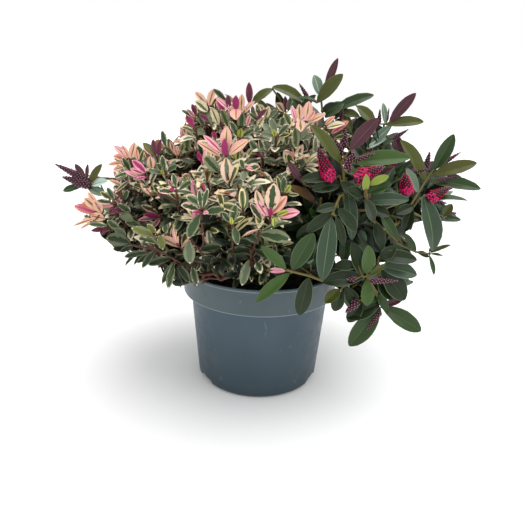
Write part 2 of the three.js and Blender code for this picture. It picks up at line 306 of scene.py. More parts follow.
def plastic():
    """Blue-grey moulded plastic: a fine matt grain, soft mottling and scuffs, painted shade that darkens the
    body below the band and most towards the foot, and painted highlight lines under the rim and at the
    band's foot.
    """
    # painted shade: the body's colours are darker than the band's, and the foot's darker still
    foot, body, body_pale = (43, 59, 68), (53, 72, 84), (62, 81, 93)
    band, band_pale = (63, 78, 83), (71, 85, 90)
    # painted highlights: the two pale line colours; scuff is the plastic's real wear
    rim_highlight, band_highlight, scuff = (124, 138, 142), (116, 130, 134), (134, 146, 150)
    band_edge, rim_edge = BAND_FOOT * MM, (POT_HEIGHT - BEAD_HEIGHT) * MM
    pattern = Pattern("plastic", (80, 93, 98), 0.5)
    mottle = pattern.spread(pattern.noise(22, 3), 0.35, 0.65, 0, 1)
    mottled_body = pattern.mix(mottle, body, body_pale)
    mottled_band = pattern.mix(mottle, band, band_pale)
    # painted shade: darker from the band down to the foot
    shaded_body = pattern.mix(pattern.height(0, band_edge + 0.005), foot, mottled_body)
    whole = pattern.mix(pattern.height(band_edge - 0.0005, band_edge + 0.0015), shaded_body, mottled_band)
    # painted highlight lines: one under the rim's bead and one just above the band's foot
    highlit = pattern.mix(pattern.line(rim_edge + 0.0004, 0.0007), whole, rim_highlight)
    highlit = pattern.mix(pattern.line(band_edge + 0.0018, 0.0012), highlit, band_highlight)
    scuffs = pattern.spread(pattern.noise(180, 2, (1, 1, 0.5)), 0.7, 0.78, 0, 0.3)
    pattern.colour(pattern.mix(scuffs, highlit, scuff))
    pattern.roughness(pattern.spread(pattern.noise(90, 3), 0.3, 0.7, 0.4, 0.56))
    pattern.bump(pattern.noise(1400, 2), 0.12, 0.0004)
    return pattern.material


def bark(name, young, old):
    """Thin bark: long dark streaks over patches of young and old skin."""
    pattern = Pattern(name, young, 0.8)
    streaks = pattern.spread(pattern.noise(500, 4, (1, 1, 0.16)), 0.36, 0.64, 0, 1)
    patches = pattern.spread(pattern.noise(60, 3), 0.4, 0.6, 0, 1)
    pattern.colour(pattern.mix(streaks, pattern.mix(patches, young, old), darker(old, 0.55)))
    pattern.roughness(pattern.spread(streaks, 0, 1, 0.65, 0.9))
    pattern.bump(pattern.noise(900, 4, (1, 1, 0.2)), 0.5, 0.0006)
    return pattern.material


def grains(name, rgb):
    """Damp compost: two tones of the colour in a rough grain."""
    pattern = Pattern(name, rgb, 0.9)
    tone = pattern.spread(pattern.noise(420, 5), 0.35, 0.65, 0, 1)
    pattern.colour(pattern.mix(tone, darker(rgb, 0.6), rgb))
    pattern.roughness(pattern.spread(tone, 0, 1, 0.75, 0.98))
    pattern.bump(pattern.noise(900, 5), 0.8, 0.001)
    return pattern.material


def plant_material(name, rgb):
    """A colour that is dealt out by spray."""
    roughness, gloss = SURFACES.get(name.split("_")[0], SOFT_SURFACE)
    material, shader = principled(name, rgb, roughness)
    shader.inputs["Specular IOR Level"].default_value = gloss
    return material


MATERIALS = {name: plant_material(name, rgb) for name, rgb in PLANT_COLOURS.items()}
MATERIALS |= {name: grains(name, rgb) for name, rgb in PLAIN_COLOURS.items()}
MATERIALS["plastic"] = plastic()
MATERIALS["bark_variegated"] = bark("bark_variegated", (112, 68, 54), (92, 70, 58))
MATERIALS["bark_green"] = bark("bark_green", (112, 100, 62), (96, 82, 62))


# ======== Joined pieces ========
NAME = "U24"  # the type of an array of colour names


class Bundle:
    """Gathers the points and triangles of many like things, and joins them into pieces."""

    def __init__(self, name, slot):
        self.name = name
        self.slot = slot
        self.parts = []

    def add(self, points, triangles, colours):
        """colours has one name per triangle, as an array or as one name for all."""
        names = np.broadcast_to(np.asarray(colours, dtype=NAME), len(triangles))
        self.parts.append((np.asarray(points, float), np.asarray(triangles, int), names))

    def groups(self):
        """The parts in lots that each stay under the most triangles a piece may hold."""
        lots = [[]]
        held = 0
        for part in self.parts:
            if held + len(part[1]) > PIECE_TRIANGLES:
                lots.append([])
                held = 0
            lots[-1].append(part)
            held += len(part[1])
        return lots

    def join(self, *replaced):
        made = []
        for index, parts in enumerate(self.groups()):
            name = self.name if index == 0 else f"{self.name}_{index + 1}"
            piece = joined_mesh(name, parts)
            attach(piece, "root")
            made.append(piece)
            print(name, sum(len(part[1]) for part in parts), "triangles")
        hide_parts(*replaced)
        return made


def put_in_scene(name, data):
    made = bpy.data.objects.new(name, data)
    bpy.context.scene.collection.objects.link(made)
    return made


def joined_mesh(name, parts):
    """One object of many parts, each given as points in mm, triangles and a colour name per triangle."""
    starts = np.cumsum([0] + [len(points) for points, _, _ in parts[:-1]])
    points = np.concatenate([part[0] for part in parts])
    triangles = np.concatenate([part[1] + start for part, start in zip(parts, starts)])
    names, indices = np.unique(np.concatenate([part[2] for part in parts]), return_inverse=True)
    mesh = bpy.data.meshes.new(name)
    mesh.vertices.add(len(points))
    mesh.vertices.foreach_set("co", (points * MM).astype(np.float32).ravel())
    mesh.loops.add(triangles.size)
    mesh.loops.foreach_set("vertex_index", triangles.astype(np.int32).ravel())
    mesh.polygons.add(len(triangles))
    mesh.polygons.foreach_set("loop_start", np.arange(0, triangles.size, 3, dtype=np.int32))
    for colour in names:
        mesh.materials.append(MATERIALS[str(colour)])
    mesh.polygons.foreach_set("material_index", indices.astype(np.int32))
    mesh.update(calc_edges=True)
    mesh.shade_smooth()
    mesh.set_sharp_from_angle(angle=LEAF_CREASE)
    return put_in_scene(name, mesh)


# ======== Solids made of rings ========
def circle(centre, radius, side, axis, count):
    """Points round an axis, from the direction of side on."""
    turns = np.arange(count) * 2 * math.pi / count
    return centre + radius * (np.cos(turns)[:, None] * side + np.sin(turns)[:, None] * np.cross(axis, side))


def ringed(rings, foot, head):
    """The points and triangles of a solid skinned over rings and closed by a point at each end."""
    sides = len(rings[0])
    here = np.arange(sides)
    after = (here + 1) % sides
    faces = []
    for k in range(len(rings) - 1):
        a, b = k * sides + here, k * sides + after
        faces += [np.stack([a, b, b + sides], 1), np.stack([a, b + sides, a + sides], 1)]
    last = (len(rings) - 1) * sides
    foot_index, head_index = np.full(sides, last + sides), np.full(sides, last + sides + 1)
    faces += [np.stack([foot_index, after, here], 1), np.stack([head_index, last + here, last + after], 1)]
    return np.concatenate([*rings, [foot, head]]), np.concatenate(faces)


def tube(line, radii, sides):
    """A closed tube along a line of points."""
    line = np.asarray(line, float)
    way = np.gradient(line, axis=0)
    across = square_to(np.array([0.3, 0.2, 1.0]), unit(way[0]))
    rings = []
    for point, direction, radius in zip(line, way, radii):
        direction = unit(direction)
        across = square_to(across, direction)
        rings.append(circle(point, radius, across, direction, sides))
    return ringed(rings, line[0], line[-1])


# ======== Leaves ========
# A leaf is a thin closed blade: a grid on its upper face, one ridge under it, and a point at each end.
Leaf = namedtuple("Leaf", "plan base along up length width bend fold twist colours share")
# Where a plan is zoned, its columns between 0 and 0.5 lie within the leaf's own share of green.
LeafPlan = namedtuple("LeafPlan", "stations columns strips zoned rise fall groove thickness")

CREAM_COARSE = LeafPlan(
    stations=(0.1, 0.32, 0.56, 0.78, 0.94),
    columns=(-1, -0.5, 0, 0.5, 1),
    strips=("edge", "heart", "accent", "edge"),
    zoned=True,
    rise=0.95,
    fall=0.82,
    groove=-0.6,  # cupped
    thickness=0.45,
)
CREAM_YOUNG = CREAM_COARSE._replace(
    stations=(0.1, 0.28, 0.48, 0.68, 0.84, 0.95),
    columns=(-1, -0.75, -0.5, 0, 0.5, 0.75, 1),
    strips=("edge", "accent", "heart", "heart", "accent", "edge"),
)
CREAM_FINE = CREAM_YOUNG._replace(stations=(0.07, 0.2, 0.36, 0.53, 0.69, 0.82, 0.92, 0.98))
GREEN_COARSE = LeafPlan(
    stations=(0.07, 0.22, 0.4, 0.58, 0.75, 0.89, 0.97),
    columns=(-1, -0.5, -0.07, 0.07, 0.5, 1),
    strips=("heart", "heart", "accent", "heart", "heart"),
    zoned=False,
    rise=0.8,
    fall=0.72,
    groove=0.7,  # creased along the midrib
    thickness=0.55,
)
GREEN_FINE = GREEN_COARSE._replace(
    stations=(0.05, 0.13, 0.24, 0.37, 0.5, 0.63, 0.75, 0.86, 0.94, 0.985),
    columns=(-1, -0.94, -0.5, -0.05, 0.05, 0.5, 0.94, 1),
    strips=("edge", "heart", "heart", "accent", "heart", "heart", "edge"),
)
LEAF_PLANS = (CREAM_COARSE, CREAM_YOUNG, CREAM_FINE, GREEN_COARSE, GREEN_FINE)
ROLES = ("heart", "edge", "accent", "back")
RAGGED = (0.75, 1.25)  # how unevenly the green of a zoned leaf reaches out
WAVED = (0.75, 1.25)  # how unevenly its sides rise
HEART_TAPERS = 0.6  # from here to the tip a zoned leaf's heart narrows
WIDEST_HEART = 0.9
RIDGE_FULL = 6  # a leaf is at its full thickness where t * (1 - t) is at least one part in this


def leaf_faces(plan):
    """One leaf's triangles, and the role that each plays."""
    rows, across = len(plan.stations), len(plan.columns)
    base, tip = 0, 1 + rows * across + rows
    faces, roles = [], []

    def top(i, j):
        return 1 + i * across + j

    def under(i):
        return 1 + rows * across + i

    def quad(a, b, c, d, role):
        faces.extend([(a, b, c), (a, c, d)])
        roles.extend([role, role])

    last = rows - 1
    for i in range(last):
        for j, role in enumerate(plan.strips):
            shown = "edge" if plan.zoned and i == last - 1 else role
            quad(top(i, j), top(i, j + 1), top(i + 1, j + 1), top(i + 1, j), shown)
        quad(top(i, 0), top(i + 1, 0), under(i + 1), under(i), "back")
        quad(under(i), under(i + 1), top(i + 1, across - 1), top(i, across - 1), "back")
    for j, role in enumerate(plan.strips):
        faces.extend([(base, top(0, j + 1), top(0, j)), (tip, top(last, j), top(last, j + 1))])
        roles.extend([role, "edge" if plan.zoned else role])
    faces.extend([(base, top(0, 0), under(0)), (base, under(0), top(0, across - 1))])
    faces.extend([(tip, under(last), top(last, 0)), (tip, top(last, across - 1), under(last))])
    roles.extend(["back"] * 4)
    return np.array(faces), np.array([ROLES.index(role) for role in roles])


def reach_of(plan, u, t, share):
    """How far out a column lies at t, as a part of the half width."""
    if not plan.zoned:
        return np.full(len(share), float(u))
    own = np.minimum(share * (1 - max(0, t - HEART_TAPERS)), WIDEST_HEART)
    return np.sign(u) * (own * min(1, 2 * abs(u)) + (1 - own) * max(0, 2 * abs(u) - 1))


def add_leaves(bundle, leaves, plan):
    """Builds every leaf of one plan at once."""
    if not leaves:
        return
    faces, roles = leaf_faces(plan)

    def column(name):
        return np.array([getattr(leaf, name) for leaf in leaves], float)

    base, along, up = column("base"), column("along"), column("up")
    length, width, bend = column("length"), column("width"), column("bend")
    fold, twist, share = column("fold"), column("twist"), column("share")
    bend = np.where(np.abs(bend) < 1e-3, 1e-3, bend)
    side = np.cross(along, up)
    rng = np.random.default_rng(SEED)
    halves = (len(plan.stations), 2, len(leaves))
    ragged = rng.uniform(*RAGGED, (1, *halves[1:])) * rng.uniform(*RAGGED, halves)
    waves = rng.uniform(*WAVED, halves)

    def line(t):
        """The midrib at t: its place, and the leaf's own sideways and upward directions there."""
        half = (bend / 2)[:, None]
        start = along * np.cos(half) + up * np.sin(half)
        lift = up * np.cos(half) - along * np.sin(half)
        arc = (length * (bend / 2) / np.sin(bend / 2) / bend)[:, None]
        angle = (bend * t)[:, None]
        place = base + start * np.sin(angle) * arc - lift * (1 - np.cos(angle)) * arc
        normal = lift * np.cos(angle) + start * np.sin(angle)
        roll = (twist * t)[:, None]
        across = side * np.cos(roll) + normal * np.sin(roll)
        return place, across, normal * np.cos(roll) - side * np.sin(roll)

    peak = plan.rise / (plan.rise + plan.fall)
    most = peak**plan.rise * (1 - peak) ** plan.fall
    rings, ridges = [], []
    for row, t in enumerate(plan.stations):
        place, across, normal = line(t)
        half_width = width / 2 * (t**plan.rise * (1 - t) ** plan.fall) / most
        ring = []
        for u in plan.columns:
            hand = int(u > 0)
            reach = reach_of(plan, u, t, share * ragged[row, hand])
            out = (half_width * reach)[:, None]
            cup = (1 + plan.groove) * np.abs(reach) - plan.groove * reach**2
            raised = (half_width * fold * waves[row, hand] * cup)[:, None]
            ring.append(place + across * out + normal * raised)
        rings.append(np.stack(ring, 1))
        ridges.append(place - normal * (plan.thickness * min(1, RIDGE_FULL * t * (1 - t))))
    points = np.concatenate(
        [line(0)[0][:, None], np.concatenate(rings, 1), np.stack(ridges, 1), line(1)[0][:, None]], 1
    )
    shades = np.array([leaf.colours for leaf in leaves], dtype=NAME)[:, roles]
    per_leaf = points.shape[1]
    step = max(1, PIECE_TRIANGLES // (2 * len(faces)))
    for first in range(0, len(leaves), step):
        lot = slice(first, first + step)
        count = len(points[lot])
        offsets = (np.arange(count) * per_leaf)[:, None, None]
        bundle.add(points[lot].reshape(-1, 3), (faces + offsets).reshape(-1, 3), shades[lot].ravel())


# Colours of a leaf by role: heart, edge, accent (between the two, or the midrib of a green leaf), back.
CREAM_LOOKS = {
    # painted shade: the look of leaves low down and inside the crown
    "deep": ("heart_deep", "edge_deep", "heart_deep", "heart_dark"),
    # partly painted shade: older leaves, whose dimmed edge also darkens the crown low down and inside
    "old": ("heart_dark", "edge_dull", "heart_green", "back_dull"),
    "adult": ("heart_green", "edge_cream", "heart_grey", "back_pale"),
    "grey": ("heart_grey", "edge_cream", "heart_grey", "back_pale"),
    "butter": ("heart_green", "edge_butter", "heart_olive", "back_pale"),
    "olive": ("heart_olive", "heart_dark", "heart_olive", "back_dull"),
    "blush": ("heart_green", "edge_blush", "heart_grey", "edge_blush"),
    "tan": ("heart_grey", "peach", "apricot", "edge_blush"),
    "peach": ("heart_olive", "pink", "apricot", "peach"),
    "shell": ("heart_grey", "shell", "apricot", "shell"),
    "apricot": ("heart_olive", "apricot", "peach", "apricot"),
    # painted light: a paler, lit copy of the adult look
    "pale": ("heart_pale", "edge_cream", "heart_grey", "back_pale"),
    "moss": ("moss", "edge_butter", "heart_olive", "back_pale"),
    "fringed": ("heart_green", "pink", "heart_grey", "back_pale"),
    "cream": ("heart_grey", "edge_cream", "edge_butter", "edge_cream"),
    "salmon": ("heart_salmon", "peach", "apricot", "peach"),
    "dusky": ("rose", "heart_salmon", "peach", "heart_salmon"),
    "pink": ("rose", "pink", "shell", "pink"),
    "rose": ("heart_grey", "pink", "heart_rose", "pink"),
    "hot": ("magenta", "pink", "rose", "pink"),
    "magenta": ("magenta", "rose", "magenta", "magenta"),
    "plum": ("plum", "dusk", "plum", "dusk"),
    "lime": ("heart_olive", "lime", "lime", "lime"),
}
GREEN_LOOKS = {
    # painted shade: the look of leaves low down and inside the crown
    "deep": ("green_deep", "green_deep", "green_dark", "green_dull"),
    "dark": ("green_dark", "green_rib", "green", "green_back"),
    "mid": ("green", "green_rib", "green_vein", "green_back"),
    "fresh": ("green_fresh", "green_rib", "green_vein", "green_back"),
    # painted sheen: a green leaf with its bluish gloss painted in
    "blue": ("green_blue", "green_back", "green_rib", "green_back"),
    "olive": ("green_olive", "green_rib", "green_vein", "green_back"),
    "lime": ("green_lime", "green_rib", "green_lime", "green_lime"),
    "pale": ("green_back", "green_back", "green_rib", "green_blue"),
    "maroon": ("maroon", "maroon_rib", "maroon_rib", "maroon_back"),
    "bronze": ("bronze", "maroon_rib", "green_olive", "maroon_back"),
    # painted highlights: the mint, silver and rimmed looks carry a glossy leaf's whitish sheen, on the rims
    # for rimmed
    "mint": ("green_mint", "green_mint", "green_back", "green_mint"),
    "silver": ("green_back", "green_mint", "green_mint", "green_back"),
    "rimmed": ("green", "green_mint", "green_back", "green_back"),
    "bronzed": ("green_olive", "bronze", "bronze", "maroon_back"),
    "blushed": ("pink", "edge_blush", "pink", "pink"),
}
# How much of a cream-edged leaf's half width its heart takes. Other looks take ANY_SHARE.
HEART_SHARES = {
    "peach": (0.1, 0.26),
    "shell": (0.14, 0.34),
    "apricot": (0.12, 0.3),
    "cream": (0.16, 0.4),
    "tan": (0.2, 0.4),
    "salmon": (0.16, 0.34),
    "dusky": (0.3, 0.5),
    "lime": (0.14, 0.3),
    "pink": (0.14, 0.34),
    "rose": (0.25, 0.45),
    "hot": (0.3, 0.5),
    "butter": (0.34, 0.54),
    "blush": (0.4, 0.6),
    "adult": (0.43, 0.64),
    "grey": (0.46, 0.68),
    "pale": (0.4, 0.6),
    "fringed": (0.84, 0.94),
}
ANY_SHARE = (0.52, 0.76)


# ======== Shoots ========
# Of each pair of leaves from the youngest down: how far below the apex it is, its length, and its angle to
# the shoot in degrees.
CREAM_PAIRS = (
    (1, 14, 16), (3.5, 21, 36), (8, 25, 54), (14, 26, 66), (21, 26, 76), (29, 25, 84), (38, 24, 90),
)
GREEN_PAIRS = (
    (2, 26, 14), (6, 42, 34), (14, 52, 52), (27, 56, 66), (43, 54, 77), (60, 50, 86),
)

# The looks of the pairs from the youngest down. The last one goes on for the rest.
CREAM_STYLES = {
    "salmon": ("pink", "peach", "apricot", "cream", "pale", "pale", "old"),
    "rosy": ("magenta", "pink", "peach", "blush", "pale", "old"),
    "magenta": ("magenta", "hot", "pink", "rose", "pale", "old"),
    "cream": ("cream", "cream", "cream", "pale", "pale", "adult"),
    "lime": ("lime", "butter", "pale", "pale", "adult", "old"),
    "plain": ("adult", "adult", "grey", "adult", "old", "deep"),
    "plum": ("plum", "plum", "rose", "adult", "old", "deep"),
    # painted shade: the style of shoots low down and inside the crown
    "deep": ("old", "old", "deep", "deep"),
}
GREEN_STYLES = {
    "maroon": ("maroon", "maroon", "bronze", "mid", "dark"),
    "olive": ("olive", "olive", "mid", "dark"),
    "green": ("mid", "mid", "dark"),
    "lime": ("lime", "olive", "mid", "dark"),
    # painted sheen: a style whose grown leaves carry the painted bluish sheen
    "blue": ("mid", "blue", "blue", "dark"),
    # painted shade: the style of shoots low down and inside the crown
    "deep": ("dark", "dark", "deep"),
}
# Looks that are dealt in place of one another, so that no two leaves of a shoot are quite alike.
VARIANTS = {
    "peach": ("peach", "peach", "shell", "apricot"),
    "apricot": ("apricot", "apricot", "tan", "peach"),
    "pink": ("pink", "pink", "peach"),
    "cream": ("cream", "butter"),
    "butter": ("butter", "cream", "adult"),
    "adult": ("adult", "adult", "grey", "butter", "old"),
    "old": ("old", "old", "deep", "adult"),
    "mid": ("mid", "dark", "fresh"),
    "dark": ("dark", "dark", "mid", "deep"),
}
# The look of the closed pair of leaves at the tip, for the styles that have one.
BUDS = {
    "rosy": "magenta",
    "magenta": "magenta",
    "salmon": "magenta",
    "plum": "plum",
    "maroon": "maroon",
    "green": "maroon",
}

# One of the two foliage forms. `width` is a share of a leaf's length, `fold` is how far its sides rise,
# `young` is the plan of the first pairs, `fine` that of pictured leaves, `spacing` is between shoot tips on
# the skin, `inset` is how far a scattered apex lies under the skin, `half_width` is that of a leaf in
# pixels, and `bud` is the length and width of a closed pair.
Form = namedtuple(
    "Form",
    "pairs looks styles width fold plan young fine stem tip_radius"
    " spacing inset lengths sizes half_width bud",
)
FORMS = {
    "variegated": Form(
        pairs=CREAM_PAIRS,
        looks=CREAM_LOOKS,
        styles=CREAM_STYLES,
        width=0.36,
        fold=0.45,
        plan=CREAM_COARSE,
        young=CREAM_YOUNG,
        fine=CREAM_FINE,
        stem="stem_maroon",
        tip_radius=0.75,
        spacing=14,
        inset=10,
        lengths=(28, 42),
        sizes=(0.68, 0.9),
        half_width=4,
        bud=(15, 6),
    ),
    "green": Form(
        pairs=GREEN_PAIRS,
        looks=GREEN_LOOKS,
        styles=GREEN_STYLES,
        width=0.34,
        fold=0.4,
        plan=GREEN_COARSE,
        young=GREEN_COARSE,
        fine=GREEN_FINE,
        stem="stem_olive",
        tip_radius=0.85,
        spacing=26,
        inset=22,
        lengths=(34, 60),
        sizes=(0.65, 0.95),
        half_width=7,
        bud=(24, 6),
    ),
}
YOUNG_PAIRS = 3
# How grown leaves stray from the rule: as standard deviations, or the least and the most of a factor.
PAIR_TURN = 0.12  # radians, a pair about its shoot
LEAF_TURN = 0.1  # radians, one leaf about its shoot
ANGLE_STRAY = 6  # degrees
LENGTH_STRAY = (0.88, 1.1)
WIDTH_STRAY = (0.88, 1.12)
FOLD_STRAY = (0.4, 1.3)
TWIST_STRAY = 0.2
PICTURED_TWIST = 0.12
BEND_STRAY = 0.18
FIRST_BEND = 0.1  # radians
MORE_BEND = 0.1  # for each pair further down
FIRST_STEEP = 0.2  # how much the first pair's direction strays up or down, against 1 sideways
LEAF_LIFT = 0.1  # how much a leaf turns upwards
FACE_UP = 0.25  # how much its upper side does
BUD_SPREAD = 0.1  # how much the two leaves of a closed pair lean apart
BUD_APART = 0.8  # mm from the shoot's axis to the base of each
# A leafy shoot ends at its apex. Its axis is where it points there, and `bud` is the look of a closed pair
# that takes the first pair's place.
Shoot = namedtuple("Shoot", "form apex axis length style size bud")


def stem_point(shoot, below):
    return shoot.apex - shoot.axis * below


def heart_share(look, rng):
    return rng.uniform(*HEART_SHARES.get(look, ANY_SHARE))


def shoot_leaves(shoot, rng, first=0):
    """The decussate pairs of one shoot from the first one on, each pair a quarter turn from the next."""
    form = FORMS[shoot.form]
    names = form.styles[shoot.style]
    aside = square_to(np.array([rng.normal(), rng.normal(), FIRST_STEEP * rng.normal()]), shoot.axis)
    leaves = bud_leaves(shoot, form, aside) if shoot.bud else []
    for k, (below, length, angle) in enumerate(form.pairs):
        below, length = below * shoot.size, length * shoot.size
        if below > shoot.length:
            break
        if k < first or (k == 0 and shoot.bud):
            continue
        pair_out = turned(aside, shoot.axis, math.pi / 2 * k + rng.normal() * PAIR_TURN)
        pair_look = names[min(k, len(names) - 1)]
        look = str(rng.choice(VARIANTS.get(pair_look, (pair_look,))))
        for hand in (1, -1):
            spread = math.radians(angle + rng.normal() * ANGLE_STRAY)
            out = turned(pair_out * hand, shoot.axis, rng.normal() * LEAF_TURN)
            along = unit(shoot.axis * math.cos(spread) + out * math.sin(spread) + UP * LEAF_LIFT)
            leaves.append(
                Leaf(
                    plan=form.young if k < YOUNG_PAIRS else form.plan,
                    base=stem_point(shoot, below),
                    along=along,
                    up=square_to(shoot.axis + FACE_UP * UP, along),
                    length=length * rng.uniform(*LENGTH_STRAY),
                    width=length * form.width * rng.uniform(*WIDTH_STRAY),
                    bend=rng.normal(FIRST_BEND + MORE_BEND * k, BEND_STRAY),
                    fold=form.fold * rng.uniform(*FOLD_STRAY),
                    twist=rng.normal(0, TWIST_STRAY),
                    colours=form.looks[look],
                    share=heart_share(look, rng),
                )
            )
    return leaves


def bud_leaves(shoot, form, aside):
    """A closed pair at the very tip."""
    length, width = form.bud
    leaves = []
    for hand in (1, -1):
        along = unit(shoot.axis + aside * hand * BUD_SPREAD)
        leaves.append(
            Leaf(
                plan=form.plan,
                base=shoot.apex + aside * hand * BUD_APART,
                along=along,
                up=square_to(-aside * hand, along),
                length=length * shoot.size,
                width=width * shoot.size,
                bend=-0.35,
                fold=0.7,
                twist=0,
                colours=form.looks[shoot.bud],
                share=0.6,
            )
        )
    return leaves


# ======== What the picture shows: places in pixels, depths in mm ========
# A single leaf by its base and tip. `out` is how much further from the viewer the tip is than the base (less
# than 0 where it is nearer), or None to work it out, and `face` is what the leaf's upper side looks at.
Mark = namedtuple("Mark", "base tip width look out face bend", defaults=(None, "viewer", 0.2))
FACES = {"viewer": -LOOK + 0.35 * UP, "sky": UP - 0.55 * LOOK, "away": LOOK + 0.3 * UP}


def between(kind, row):
    """A Mark or a Spike from its row in the tables below, which starts with the (u, v) of its two ends."""
    return kind(row[:2], row[2:4], *row[4:])


# A star of leaves round the tip of a cream-edged shoot. Its depth is the crown's own at its heart.
Star = namedtuple("Star", "heart leaves")


def star(heart, rows):
    return Star(heart, [between(Mark, row) for row in rows])


